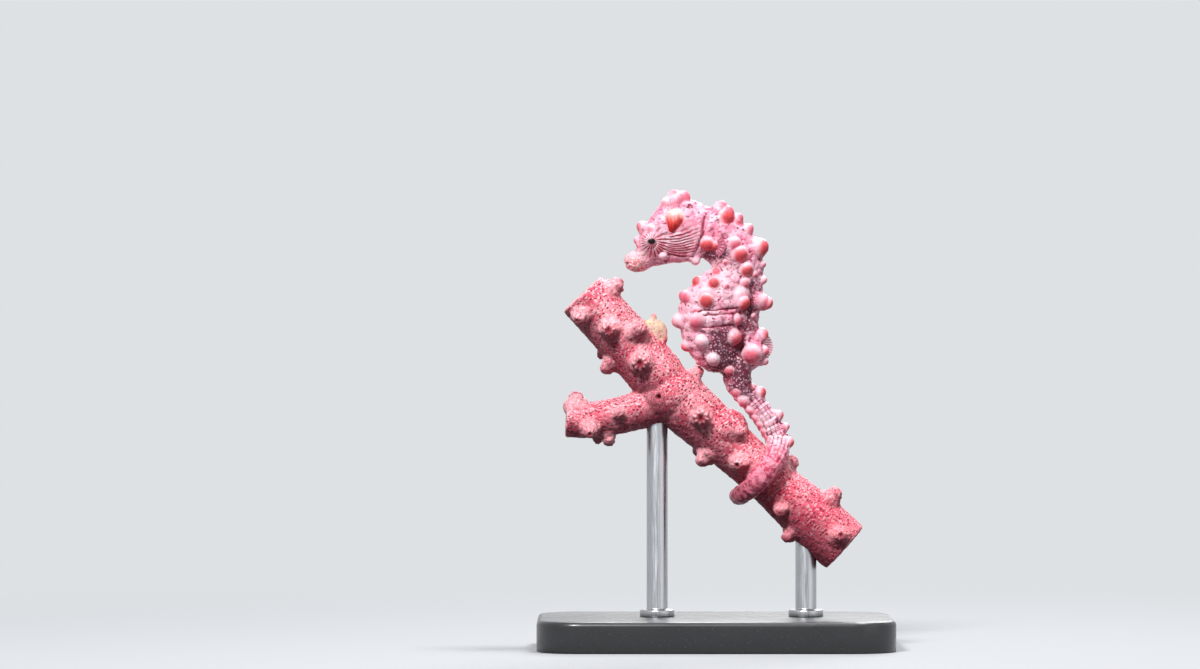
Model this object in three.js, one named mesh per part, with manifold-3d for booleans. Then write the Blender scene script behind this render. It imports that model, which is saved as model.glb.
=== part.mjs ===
// A life-size museum model of an adult pygmy seahorse, 23 mm long when straightened. It grips a cut length
// of forked sea fan with its tail, and the sea fan stands on two short rods over a flat base.
//
// Frame, in millimetres: +Z is up, the snout points along -X, the animal's left flank faces -Y, and the
// origin is the centre of the base's underside.
import * as THREE from "three";
import { mergeVertices } from "three/addons/utils/BufferGeometryUtils.js";
import Module from "manifold-3d";

const wasm = await Module();
wasm.setup();

// ---- Driving dimensions -------------------------------------------------------------------------

const SEAM = 0.05; // the thin cut between one piece of the model and the next
const FINEST = 0.03; // detail smaller than this is smoothed out of the solids
const GRIP_CLEARANCE = 0.03; // between the tail's belly side and the sea fan

const BASE = { length: 16, depth: 10, thickness: 1.4, cornerRadius: 2, chamfer: 0.2 };
const CORNER_STEPS = 3; // of each rounded corner
const ROD = { radius: 0.5, lowX: 4.1, highX: -2.6 };

// The stem is straight, from its cut foot up to the fork. Its radius is given at even steps from the foot.
const STEM = {
  foot: [5.85, 4.5],
  fork: [-1.93, 11.43],
  behind: 0.25, // how far its axis lies behind the animal's middle, so that the belly clears it
  radii: [1.3, 1.34, 1.26, 1.1, 1.06, 1.12, 1.22, 1.32, 1.4],
};
const UPPER_BRANCH = {
  line: [[-1.93, 11.43], [-2.92, 12.6], [-4.05, 13.86], [-5.17, 15.07], [-5.98, 15.93]],
  radii: [1.35, 1.3, 1.26, 1.24, 1.21],
};
const SIDE_BRANCH = {
  line: [[-1.6, 11.3], [-2.5, 10.95], [-3.38, 10.71], [-4.63, 10.35], [-5.85, 10.21], [-6.71, 10.26]],
  radii: [1.1, 1.0, 0.9, 0.85, 0.85, 0.81],
};

// Polyp mounds on the side that shows: the place along the branch, the turn round it from its upper edge
// towards the left, and the radius.
const STEM_MOUNDS = [
  [7.85, 5, 0.4],
  [6.73, 88, 0.5],
  [5.4, 56, 0.42],
  [5.7, 160, 0.5],
  [4.72, 108, 0.42],
  [3.35, 6, 0.46],
  [2.55, 122, 0.4],
  [1.75, 158, 0.42],
  [1.5, 14, 0.52],
  [0.45, 80, 0.46],
];
const UPPER_MOUNDS = [
  [1.28, 97, 0.5],
  [1.78, 172, 0.48],
  [1.95, 58, 0.56],
  [2.5, 98, 0.54],
  [3.35, 14, 0.52],
  [3.4, 128, 0.46],
];
const SIDE_MOUNDS = [
  [2.75, 84, 0.34],
  [3.25, 168, 0.42],
  [3.85, 118, 0.46],
  [4.45, 8, 0.48],
];

// On the far side, evenly placed mounds swing either way of this turn.
const BEHIND = {
  turn: 260,
  swing: 48,
  wave: 2.4,
  radius: 0.46,
  stem: { from: 0.5, to: 7.4, step: 0.62, grip: [2.6, 5.3] },
  upper_branch: { from: 1.3, to: 3.6, step: 0.5 },
  side_branch: { from: 2.6, to: 4.6, step: 0.55 },
};

// Where the tail grips: a point on the stem's axis, and the stem's radius there.
const GRIP = { x: 1.89, z: 8.03, stemRadius: 1.06 };

// Each station of the head gives the outline above and below, as [x, z], and half the width there.
const HEAD = {
  tip: { above: [-4.1, 17.52], below: [-4.08, 17.24], half: 0.17 },
  lip: { above: [-4.0, 17.7], below: [-3.97, 17.08], half: 0.36 },
  bulb: { above: [-3.76, 17.84], below: [-3.7, 16.9], half: 0.5 },
  snout: { above: [-3.52, 17.93], below: [-3.36, 16.87], half: 0.52 },
  bridge: { above: [-3.47, 18.22], below: [-3.05, 17.0], half: 0.54 },
  face: { above: [-3.4, 18.62], below: [-2.84, 17.12], half: 0.6 },
  brow: { above: [-3.06, 19.16], below: [-2.62, 17.18], half: 0.7 },
  forehead: { above: [-2.68, 19.72], below: [-2.4, 17.22], half: 0.78 },
  front_crown: { above: [-2.26, 20.12], below: [-2.12, 17.26], half: 0.83 },
  crown: { above: [-1.75, 20.27], below: [-1.71, 17.3], half: 0.85 },
  cheek: { above: [-1.2, 20.22], below: [-1.2, 17.34], half: 0.84 },
  gill: { above: [-0.74, 20.1], below: [-0.82, 17.42], half: 0.78 },
  occiput: { above: [-0.4, 19.95], below: [-0.56, 17.62], half: 0.66 },
};

// The column runs from inside the head down the back to the root of the tail.
const COLUMN = {
  inside_head: { above: [-0.94, 19.9], below: [-0.94, 17.59], half: 0.6 },
  nape: { above: [-0.12, 19.86], below: [-0.36, 17.4], half: 0.74 },
  neck: { above: [0.87, 19.5], below: [-0.12, 17.08], half: 0.78 },
  shoulder: { above: [1.7, 18.72], below: [0.02, 16.7], half: 0.78 },
  upper_back: { above: [2.14, 17.7], below: [0.22, 16.2], half: 0.76 },
  back: { above: [2.2, 16.8], below: [0.5, 16.0], half: 0.7 },
  middle_back: { above: [2.16, 16.02], below: [0.78, 15.71], half: 0.64 },
  loin: { above: [2.02, 15.16], below: [0.86, 15.12], half: 0.62 },
  lower_back: { above: [1.96, 14.4], below: [0.78, 14.31], half: 0.63 },
  fin_back: { above: [1.98, 13.54], below: [0.6, 13.41], half: 0.66 },
  vent: { above: [1.84, 12.82], below: [0.36, 12.69], half: 0.66 },
  tail_root: { above: [1.6, 12.25], below: [0.34, 12.02], half: 0.62 },
};

// The belly swells in front of the column: a height, the outline behind and in front, and half the width.
const BELLY = {
  breast: { above: [1.03, 17.1], below: [-0.14, 17.1], half: 0.5 },
  upper_breast: { above: [1.42, 16.74], below: [-0.7, 16.74], half: 0.88 },
  chest: { above: [1.56, 16.29], below: [-1.14, 16.29], half: 1.09 },
  upper_belly: { above: [1.5, 15.75], below: [-1.55, 15.75], half: 1.22 },
  belly: { above: [1.35, 15.03], below: [-1.7, 15.03], half: 1.28 },
  middle_belly: { above: [1.24, 14.31], below: [-1.6, 14.31], half: 1.26 },
  lower_belly: { above: [1.15, 13.63], below: [-1.37, 13.63], half: 1.18 },
  pouch: { above: [1.1, 13.09], below: [-1.05, 13.09], half: 1.03 },
  lower_pouch: { above: [0.98, 12.69], below: [-0.68, 12.69], half: 0.83 },
  pouch_end: { above: [0.8, 12.38], below: [-0.24, 12.38], half: 0.5 },
};

// The tail beside the stem: how far along the stem's axis and off it, how far to the left, and its radius.
const TAIL = {
  upper: { along: -3.0, off: 2.27, left: 0.25, radius: 0.57 },
  middle: { along: -2.36, off: 2.16, left: 0.25, radius: 0.53 },
  lower: { along: -1.68, off: 2.06, left: 0.27, radius: 0.52 },
  above_grip: { along: -0.98, off: 1.88, left: 0.31, radius: 0.53 },
};
// It then wraps over the stem's front, under it and up behind it. Turns are in degrees, and each drift along
// the stem and the taper run smoothly from one turn to another.
const WRAP = {
  first: 14,
  last: 288,
  steps: 18,
  startsAt: -0.3,
  drifts: [
    { by: 0.62, from: -11, to: 70 },
    { by: -0.15, from: 110, to: 180 },
    { by: 0.35, from: 200, to: 288 },
  ],
  taper: { from: 20, to: 368, radius: 0.54, tipRadius: 0.22 },
  flattening: 0.9, // the tail's thickness on the stem, as a share of its width
};

// Past the wrap the tail rounds off, over a length and to a width that are shares of its half width there.
const TAIL_END = { length: 0.7, narrowing: 0.5 };

// Blunt tubercles on both flanks: x, z, radius, and how far the centre stands off the skin as a share of it.
const FLANK_TUBERCLES = [
  [-2.34, 17.61, 0.19, -0.25],
  [-0.89, 17.5, 0.22, 0.3],
  [-0.37, 18.18, 0.32, -0.25],
  [-0.25, 18.95, 0.5, -0.85],
  [-1.83, 19.33, 0.37, -0.25],
  [-1.92, 18.97, 0.22, -0.25],
  [-2.92, 18.9, 0.2, -0.45],
  [0.5, 19.42, 0.36, -0.15],
  [1.08, 19.1, 0.3, -0.4],
  [1.46, 18.75, 0.28, -0.4],
  [0.88, 18.2, 0.27, 0],
  [1.11, 17.73, 0.34, 0],
  [1.4, 17.05, 0.28, 0],
  [-0.81, 16.5, 0.26, -0.15],
  [-0.08, 16.43, 0.26, 0.05],
  [1.18, 15.84, 0.47, -0.43],
  [1.16, 15.57, 0.33, 0.35],
  [-0.4, 15.65, 0.33, 0.12],
  [-0.42, 15.88, 0.4, -0.45],
  [0.98, 14.77, 0.25, -0.1],
  [-0.83, 14.71, 0.34, 0.05],
  [0.84, 13.99, 0.35, 0],
  [-0.62, 13.79, 0.29, 0.05],
  [1.64, 13.24, 0.4, 0],
  [-0.1, 13, 0.29, 0.1],
];
// Tubercles along the edges of the back and belly: x, z, radius, and how far out to each side.
const EDGE_TUBERCLES = [
  [-3.29, 18.96, 0.26, 0.08],
  [-3.5, 18.3, 0.18, 0.1],
  [-1.84, 20.27, 0.36, 0.1],
  [-1.41, 20.27, 0.31, 0.12],
  [-1.6, 20.2, 0.3, 0.32],
  [-2.16, 19.98, 0.28, 0.2],
  [0.26, 19.8, 0.34, 0.14],
  [1.04, 19.32, 0.25, 0.2],
  [1.5, 18.86, 0.25, 0.2],
  [2, 18.03, 0.43, 0.24],
  [2.16, 16.55, 0.2, 0.22],
  [2.08, 15.6, 0.38, 0.2],
  [2.33, 15.52, 0.3, 0.16],
  [-1.38, 15.84, 0.27, 0.3],
  [-1.64, 14.72, 0.33, 0.34],
  [-1.27, 13.6, 0.28, 0.3],
  [2.14, 14.12, 0.28, 0.18],
  [2.2, 13.36, 0.24, 0.3],
  [2.22, 12.9, 0.2, 0.22],
  [2.04, 11.5, 0.27, 0.2],
  [2.88, 10.48, 0.23, 0.2],
  [3.2, 9.96, 0.17, 0.2],
  [3.28, 9.26, 0.28, 0.35],
];
// Plates down the front edge of the tail: x, z and radius, all this far out to each side.
const TAIL_PLATES = [
  [0.82, 12.03, 0.24],
  [1, 11.54, 0.25],
  [1.29, 11.13, 0.29],
  [1.6, 10.7, 0.23],
  [1.84, 10.37, 0.21],
  [2.04, 10.07, 0.21],
];
const PLATE_SPREAD = 0.28;

// The swelling under the dorsal fin, and the base of the crown.
const FIN_HUMP = { x: 1.76, z: 13.4, radii: [0.5, 0.66, 0.84] };
const CROWN = { x: -1.8, z: 20, radii: [0.66, 0.5, 0.45] };
const EYE = { x: -2.86, z: 18.25, left: 0.44, radii: [0.46, 0.42, 0.46] };
// Each fin is a fan on a root buried in the body, with its middle at x and z.
const DORSAL_FIN = { x: 2.05, z: 13.6, thickness: 0.5, root: 0.6, reach: 0.45, spread: 0.65 };
const PECTORAL_FIN = { x: 0.1, z: 18.05, thickness: 1, left: 0.72, root: 0.1, reach: 0.42, spread: 0.5 };

// The thick crotch of the fork, and a thin scrap of sponge that grows on the upper branch.
const CROTCH = { x: -1.9, z: 11.42, radii: [1.5, 1.3, 1.45] };
const SCRAP = [
  { x: -2.78, z: 14.3, radii: [0.64, 0.25, 0.5] },
  { x: -2.76, z: 14.88, radii: [0.18, 0.25, 0.27] },
  { x: -3.4, z: 14.62, radii: [0.34, 0.25, 0.25] },
];
const SCRAP_BEHIND = 0.05;
// A broad swelling of the stem beside the tail.
const SWELLING = { x: 0.56, z: 9.82, left: 0.1, radii: [0.95, 0.95, 0.95] };

const SIDES = 10; // of every round section
const SIDES_OF_KNOB = 6; // of a tubercle or a polyp mound
const MOUND_RISE = 0.1; // of a mound's centre off the rind, as a share of its radius
const LOFT_RINGS = { head: 15, column: 44, belly: 10, stem: 9, upper_branch: 5, side_branch: 6 };

// ---- Helpers ------------------------------------------------------------------------------------

const X = new THREE.Vector3(1, 0, 0);
const Y = new THREE.Vector3(0, 1, 0);
const Z = new THREE.Vector3(0, 0, 1);
const at = (x, z, y = 0) => new THREE.Vector3(x, y, z);
const BOTH_SIDES = [-1, 1];
const FAR_OUT = 5; // beyond the animal's widest point
const NUDGE = 0.05; // a small step, to tell a direction or feel for a piece

// A closed geometry as a solid that can be joined and cut.
function solid(geometry) {
  const bare = geometry.clone();
  bare.deleteAttribute("normal");
  bare.deleteAttribute("uv");
  const merged = mergeVertices(bare, 1e-5);
  return new wasm.Manifold(
    new wasm.Mesh({
      numProp: 3,
      vertProperties: new Float32Array(merged.attributes.position.array),
      triVerts: new Uint32Array(merged.index.array),
    }),
  );
}

function joined(solids) {
  return solids.reduce((whole, next) => whole.add(next));
}

function mesh(name, shape, material) {
  const made = shape.getMesh();
  const places = new Float32Array(made.numVert * 3);
  for (let i = 0; i < made.numVert; i++)
    places.set(made.vertProperties.subarray(i * made.numProp, i * made.numProp + 3), i * 3);
  const geometry = new THREE.BufferGeometry();
  geometry.setAttribute("position", new THREE.BufferAttribute(places, 3));
  geometry.setIndex(new THREE.BufferAttribute(new Uint32Array(made.triVerts), 1));
  geometry.computeVertexNormals();
  const result = new THREE.Mesh(geometry, material);
  result.name = name;
  return result;
}

// How far across the widest corner of a round section lies, as a share of its half width.
const WIDEST = Math.max(...Array.from({ length: SIDES }, (_, k) => Math.sin((2 * Math.PI * k) / SIDES)));

// A section is {centre, back, depth, half}: an oval with its half depth towards the back and its half width
// across. A loft is a closed skin over a row of them.
function loft(sections) {
  const sides = SIDES;
  const places = [];
  const faces = [];
  const centres = sections.map((s) => s.centre);
  sections.forEach((s, i) => {
    const before = centres[Math.max(i - 1, 0)];
    const after = centres[Math.min(i + 1, centres.length - 1)];
    const across = new THREE.Vector3().subVectors(after, before).cross(s.back).normalize();
    for (let k = 0; k < sides; k++) {
      const turn = (2 * Math.PI * k) / sides;
      const p = s.centre
        .clone()
        .addScaledVector(s.back, s.depth * Math.cos(turn))
        .addScaledVector(across, (s.half * Math.sin(turn)) / WIDEST);
      places.push(p.x, p.y, p.z);
    }
  });
  const first = places.length / 3;
  for (const end of [centres[0], centres[centres.length - 1]]) places.push(end.x, end.y, end.z);
  const lastRing = (sections.length - 1) * sides;
  for (let k = 0; k < sides; k++) {
    const next = (k + 1) % sides;
    for (let i = 0; i < lastRing; i += sides)
      faces.push(i + k, i + sides + next, i + next, i + k, i + sides + k, i + sides + next);
    faces.push(first, k, next);
    faces.push(first + 1, lastRing + next, lastRing + k);
  }
  const geometry = new THREE.BufferGeometry();
  geometry.setAttribute("position", new THREE.Float32BufferAttribute(places, 3));
  geometry.setIndex(faces);
  const made = solid(geometry);
  if (made.volume() > 0) return made;
  for (let i = 0; i < faces.length; i += 3) [faces[i + 1], faces[i + 2]] = [faces[i + 2], faces[i + 1]];
  return solid(geometry.setIndex(faces));
}

// Named stations with an outline above and below, as sections.
function fromOutlines(stations) {
  return Object.values(stations).map(({ above, below, half }) => {
    const top = at(...above);
    const bottom = at(...below);
    const back = top.clone().sub(bottom);
    const centre = top.clone().add(bottom).multiplyScalar(0.5);
    return { centre, depth: back.length() / 2, back: back.normalize(), half };
  });
}

// The section at a place between stations, where 2.5 is halfway between the third and the fourth.
function sectionAt(sections, place) {
  const share = THREE.MathUtils.clamp(place / (sections.length - 1), 0, 1);
  const curve = (points) => new THREE.CatmullRomCurve3(points, false, "catmullrom").getPoint(share);
  const sizes = curve(sections.map((s) => new THREE.Vector3(s.depth, s.half, 0)));
  return {
    centre: curve(sections.map((s) => s.centre)),
    back: curve(sections.map((s) => s.back)).normalize(),
    depth: sizes.x,
    half: sizes.y,
  };
}

function smoothed(sections, rings) {
  const last = sections.length - 1;
  return Array.from({ length: rings }, (_, i) => sectionAt(sections, (last * i) / (rings - 1)));
}

// A point on a loft's skin and the way out of it. around is 0 on the back, 90 on the left, 180 on the belly.
function onSkin(sections, place, around) {
  const s = sectionAt(sections, place);
  const ahead = sectionAt(sections, place + NUDGE).centre.sub(sectionAt(sections, place - NUDGE).centre);
  const left = ahead.cross(s.back).normalize();
  if (left.y > 0) left.negate();
  const turn = THREE.MathUtils.degToRad(around);
  const along = (x, y) => new THREE.Vector3().addScaledVector(s.back, x).addScaledVector(left, y);
  return {
    point: s.centre.clone().add(along(s.depth * Math.cos(turn), s.half * Math.sin(turn))),
    out: along(Math.cos(turn) / s.depth, Math.sin(turn) / s.half).normalize(),
  };
}

function oval(centre, radii, sides = SIDES) {
  const geometry = new THREE.SphereGeometry(1, sides, sides / 2);
  return solid(geometry.scale(...radii).translate(centre.x, centre.y, centre.z));
}

// A round knob that points out of the skin, with its centre off the skin by a share of its radius.
function knob(point, out, radius, rise) {
  const geometry = new THREE.SphereGeometry(radius, SIDES_OF_KNOB, SIDES_OF_KNOB / 2).rotateX(Math.PI / 2);
  geometry.applyQuaternion(new THREE.Quaternion().setFromUnitVectors(Z, out));
  const centre = point.clone().addScaledVector(out, rise * radius);
  return solid(geometry.translate(centre.x, centre.y, centre.z));
}

// Where a line straight in from one side meets a body's skin, and the way out of it there.
function onFlank(body, x, z, side) {
  const caster = new THREE.Raycaster(at(x, z, FAR_OUT * side), at(0, 0, -side));
  const hit = caster.intersectObject(body)[0];
  return { point: hit.point, out: hit.face.normal.clone() };
}

// A thin disc that parts a long body at a point.
function cutter(centre, normal, radius) {
  const geometry = new THREE.CylinderGeometry(radius, radius, SEAM, SIDES);
  geometry.applyQuaternion(new THREE.Quaternion().setFromUnitVectors(Y, normal.clone().normalize()));
  return solid(geometry.translate(centre.x, centre.y, centre.z));
}

// The piece of a cut body that holds a point.
function pieceAt(pieces, point) {
  const probe = oval(point, [NUDGE, NUDGE, NUDGE], SIDES_OF_KNOB);
  return pieces.find((piece) => piece.intersect(probe).volume() > 0);
}

// ---- Stem frame: along its axis to the foot, and off it towards the tail ------------------------

const stemAlong = at(STEM.foot[0] - STEM.fork[0], STEM.foot[1] - STEM.fork[1]).normalize();
const stemOff = at(-stemAlong.z, stemAlong.x);
const gripCentre = at(GRIP.x, GRIP.z, STEM.behind);

function besideStem(along, off, left) {
  return gripCentre
    .clone()
    .addScaledVector(stemAlong, along)
    .addScaledVector(stemOff, off)
    .addScaledVector(Y, -left);
}

// ---- Tail: sections beside the stem, then round it ----------------------------------------------

const smooth = (turn, { from, to }) => THREE.MathUtils.smoothstep(turn, from, to);

function wrapSection(turn) {
  const half = THREE.MathUtils.lerp(WRAP.taper.radius, WRAP.taper.tipRadius, smooth(turn, WRAP.taper));
  const depth = half * WRAP.flattening;
  const reach = GRIP.stemRadius + GRIP_CLEARANCE + depth;
  const drift = WRAP.drifts.reduce((far, run) => far + run.by * smooth(turn, run), WRAP.startsAt);
  const angle = THREE.MathUtils.degToRad(turn);
  return {
    centre: besideStem(drift, reach * Math.cos(angle), reach * Math.sin(angle)),
    back: besideStem(0, Math.cos(angle), Math.sin(angle)).sub(gripCentre),
    depth,
    half,
  };
}

function tailSections() {
  const beside = Object.values(TAIL).map(({ along, off, left, radius }) => ({
    centre: besideStem(along, off, left),
    back: stemOff.clone(),
    depth: radius,
    half: radius,
  }));
  const wrapped = Array.from({ length: WRAP.steps + 1 }, (_, i) =>
    wrapSection(THREE.MathUtils.lerp(WRAP.first, WRAP.last, i / WRAP.steps)),
  );
  const [before, end] = wrapped.slice(-2);
  const onward = end.centre.clone().sub(before.centre).normalize();
  const tip = { ...end, depth: end.depth * TAIL_END.narrowing, half: end.half * TAIL_END.narrowing };
  tip.centre = end.centre.clone().addScaledVector(onward, end.half * TAIL_END.length);
  return [...beside, ...wrapped, tip];
}

// Turns each tail section square to the tail's own line, with its back still facing away from the stem.
function squared(sections, from) {
  return sections.map((s, i) => {
    if (i < from) return s;
    const before = sections[i - 1].centre;
    const after = sections[Math.min(i + 1, sections.length - 1)].centre;
    const ahead = after.clone().sub(before).normalize();
    const back = s.back.clone().addScaledVector(ahead, -s.back.dot(ahead)).normalize();
    return { ...s, back };
  });
}

// ---- The animal's solids ------------------------------------------------------------------------

const headSections = fromOutlines(HEAD);
const bellySections = fromOutlines(BELLY);
const columnStations = fromOutlines(COLUMN);
const columnSections = squared([...columnStations, ...tailSections()], columnStations.length);
const onColumn = (place) => sectionAt(columnSections, place);

const plainBody = joined([
  loft(smoothed(headSections, LOFT_RINGS.head)),
  loft(smoothed(columnSections, LOFT_RINGS.column)),
  loft(smoothed(bellySections, LOFT_RINGS.belly)),
  oval(at(CROWN.x, CROWN.z), CROWN.radii),
  oval(at(FIN_HUMP.x, FIN_HUMP.z), FIN_HUMP.radii),
]);

function tubercles() {
  const body = mesh("body", plainBody);
  return BOTH_SIDES.flatMap((side) => [
    ...FLANK_TUBERCLES.map(([x, z, radius, rise]) => {
      const { point, out } = onFlank(body, x, z, side);
      return knob(point, out, radius, rise);
    }),
    ...[...EDGE_TUBERCLES, ...TAIL_PLATES.map((plate) => [...plate, PLATE_SPREAD])].map(
      ([x, z, radius, spread]) => knob(at(x, z, spread * side), at(0, 0, side), radius, 0),
    ),
  ]);
}

// ---- Cutting the animal into its named lengths --------------------------------------------------

// Each cut has a centre, the direction that it parts, and a radius.
const CUTS = [
  [at(-3.48, 17.35), at(1, 0.3), 0.78],
  [at(-0.36, 18.65), at(1, -0.1), 1.65],
  [at(0.95, 17.0), at(0.05, 1), 1.5],
  [at(1.0, 12.02), at(0.3, -0.95), 1.0],
  [at(-1.7, 20.14), Z, 0.85],
];
const TAIL_CUTS = [13.6, 16.2, 19.4, 25.4, 29.4]; // places down the column
const TAIL_CUT_RADIUS = 0.95;

function tailCutter(place) {
  const ahead = onColumn(place + NUDGE).centre.sub(onColumn(place - NUDGE).centre);
  return cutter(onColumn(place).centre, ahead, TAIL_CUT_RADIUS);
}

const eyes = BOTH_SIDES.map((side) => oval(at(EYE.x, EYE.z, EYE.left * side), EYE.radii));
const sockets = BOTH_SIDES.map((side) =>
  oval(at(EYE.x, EYE.z, EYE.left * side), EYE.radii.map((radius) => radius + SEAM)),
);

const whole = joined([plainBody, ...tubercles()]);
const knives = [
  ...CUTS.map(([centre, normal, radius]) => cutter(centre, normal, radius)),
  ...TAIL_CUTS.map(tailCutter),
  ...sockets,
];
const pieces = knives
  .reduce((body, knife) => body.subtract(knife), whole)
  .simplify(FINEST)
  .decompose();

// A point inside each length.
const LENGTHS = {
  snout: at(-3.6, 17.35),
  head: at(-1.6, 18.4),
  coronet: at(-1.7, 20.4),
  neck: at(0.6, 18.1),
  trunk: at(0.2, 14.6),
  tail_root: onColumn(12.6).centre,
  tail_upper: onColumn(15).centre,
  tail_bend: onColumn(17.8).centre,
  tail_front: onColumn(22.4).centre,
  tail_under: onColumn(27.4).centre,
  tail_tip: onColumn(32).centre,
};

// ---- Fins ---------------------------------------------------------------------------------------

// A piece set against the body: what lies in the body is cut away, and it stands off by a seam.
function against(piece, body, out) {
  const cut = piece.subtract(body).translate(...out.clone().multiplyScalar(SEAM).toArray());
  return cut.decompose().sort((a, b) => b.volume() - a.volume())[0];
}

// A plate in the shape of a fan: its root along the middle, its edge bowed out.
function fan({ thickness, root, reach, spread }) {
  const outline = new THREE.Shape();
  outline.moveTo(-root, -spread);
  outline.lineTo(reach * 0.5, -spread);
  outline.quadraticCurveTo(reach * 1.5, 0, reach * 0.5, spread);
  outline.lineTo(-root, spread);
  const plate = { depth: thickness, bevelEnabled: false, curveSegments: 6 };
  return new THREE.ExtrudeGeometry(outline, plate).translate(0, 0, -thickness / 2).rotateX(Math.PI / 2);
}

// A low fan down the hump of the lower back.
function dorsalFin() {
  return against(solid(fan(DORSAL_FIN).translate(DORSAL_FIN.x, 0, DORSAL_FIN.z)), whole, X);
}

// A small fan behind the cheek, lying along the neck.
function pectoralFin(side) {
  const placed = fan(PECTORAL_FIN).translate(PECTORAL_FIN.x, PECTORAL_FIN.left * side, PECTORAL_FIN.z);
  return against(solid(placed), whole, at(0, 0, side));
}

// ---- Sea fan ------------------------------------------------------------------------------------

function roundSections(line, radii) {
  const across = (i) => {
    const ahead = line[Math.min(i + 1, line.length - 1)].clone().sub(line[Math.max(i - 1, 0)]);
    return at(ahead.z, -ahead.x).normalize();
  };
  return line.map((centre, i) => ({ centre, back: across(i), depth: radii[i], half: radii[i] }));
}

function stemLine() {
  const steps = STEM.radii.length - 1;
  const foot = at(...STEM.foot, STEM.behind);
  const fork = at(...STEM.fork, STEM.behind);
  return STEM.radii.map((_, i) => foot.clone().lerp(fork, i / steps));
}

// A polyp mound for each [place, turn, radius].
function moundsAt(sections, list) {
  return list.map(([place, turn, radius]) => {
    const { point, out } = onSkin(sections, place, turn);
    return knob(point, out, radius, MOUND_RISE);
  });
}

// On the far side, mounds zigzag along a branch from one place to another, clear of the gripping tail.
function moundsBehind(sections, { from, to, step, grip }) {
  const count = Math.floor((to - from) / step) + 1;
  const list = Array.from({ length: count }, (_, i) => [
    from + i * step,
    BEHIND.turn + BEHIND.swing * Math.sin(BEHIND.wave * i),
    BEHIND.radius,
  ]);
  return moundsAt(
    sections,
    grip ? list.filter(([place]) => place < grip[0] || place > grip[1]) : list,
  );
}

const stemSections = roundSections(stemLine(), STEM.radii);
const upperSections = roundSections(UPPER_BRANCH.line.map((p) => at(...p, STEM.behind)), UPPER_BRANCH.radii);
const sideSections = roundSections(SIDE_BRANCH.line.map((p) => at(...p, STEM.behind)), SIDE_BRANCH.radii);

const seaFan = joined([
  loft(smoothed(stemSections, LOFT_RINGS.stem)),
  loft(smoothed(upperSections, LOFT_RINGS.upper_branch)),
  loft(smoothed(sideSections, LOFT_RINGS.side_branch)),
  oval(at(CROTCH.x, CROTCH.z, STEM.behind), CROTCH.radii),
  oval(at(SWELLING.x, SWELLING.z, -SWELLING.left), SWELLING.radii),
  ...SCRAP.map(({ x, z, radii }) => oval(at(x, z, SCRAP_BEHIND), radii)),
  ...moundsAt(stemSections, STEM_MOUNDS),
  ...moundsAt(upperSections, UPPER_MOUNDS),
  ...moundsAt(sideSections, SIDE_MOUNDS),
  ...moundsBehind(stemSections, BEHIND.stem),
  ...moundsBehind(upperSections, BEHIND.upper_branch),
  ...moundsBehind(sideSections, BEHIND.side_branch),
]);
const fanCuts = [
  cutter(at(-3.6, 13.35, STEM.behind), at(-0.66, 0.75), 1.95),
  cutter(at(-4.4, 10.45, STEM.behind), at(-1, -0.15), 1.4),
];
const fanPieces = fanCuts
  .reduce((fan, knife) => fan.subtract(knife), seaFan)
  .simplify(FINEST)
  .decompose();

// ---- Stand --------------------------------------------------------------------------------------

function baseSolid() {
  const { length, depth, thickness, cornerRadius: r, chamfer } = BASE;
  const [x, y] = [length / 2 - chamfer, depth / 2 - chamfer];
  const outline = new THREE.Shape();
  outline.moveTo(-x + r, -y);
  outline.lineTo(x - r, -y).absarc(x - r, -y + r, r, -Math.PI / 2, 0);
  outline.lineTo(x, y - r).absarc(x - r, y - r, r, 0, Math.PI / 2);
  outline.lineTo(-x + r, y).absarc(-x + r, y - r, r, Math.PI / 2, Math.PI);
  outline.lineTo(-x, -y + r).absarc(-x + r, -y + r, r, Math.PI, 1.5 * Math.PI);
  const geometry = new THREE.ExtrudeGeometry(outline, {
    depth: thickness - 2 * chamfer,
    bevelThickness: chamfer,
    bevelSize: chamfer,
    bevelSegments: 1,
    curveSegments: CORNER_STEPS,
  });
  return solid(geometry.translate(0, 0, chamfer));
}

// A rod from the base up to the sea fan's underside.
function rodSolid(x, top) {
  const height = top - BASE.thickness;
  const geometry = new THREE.CylinderGeometry(ROD.radius, ROD.radius, height, SIDES).rotateX(Math.PI / 2);
  const rod = solid(geometry.translate(x, STEM.behind, BASE.thickness + height / 2));
  const lowest = (a, b) => a.boundingBox().min[2] - b.boundingBox().min[2];
  return rod.subtract(seaFan.translate(0, 0, -SEAM)).decompose().sort(lowest)[0];
}

// ---- The model ----------------------------------------------------------------------------------

const skin = new THREE.MeshStandardMaterial({ color: 0xe79aa2, roughness: 0.55 });
const coral = new THREE.MeshStandardMaterial({ color: 0xd9717e, roughness: 0.8 });
const eye = new THREE.MeshStandardMaterial({ color: 0x2a1216, roughness: 0.15 });
const fin = new THREE.MeshStandardMaterial({ color: 0xf0c2c4, roughness: 0.4 });
const plinth = new THREE.MeshStandardMaterial({ color: 0x1c1c1e, roughness: 0.4 });
const steel = new THREE.MeshStandardMaterial({ color: 0xb8babd, roughness: 0.3, metalness: 1 });

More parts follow.
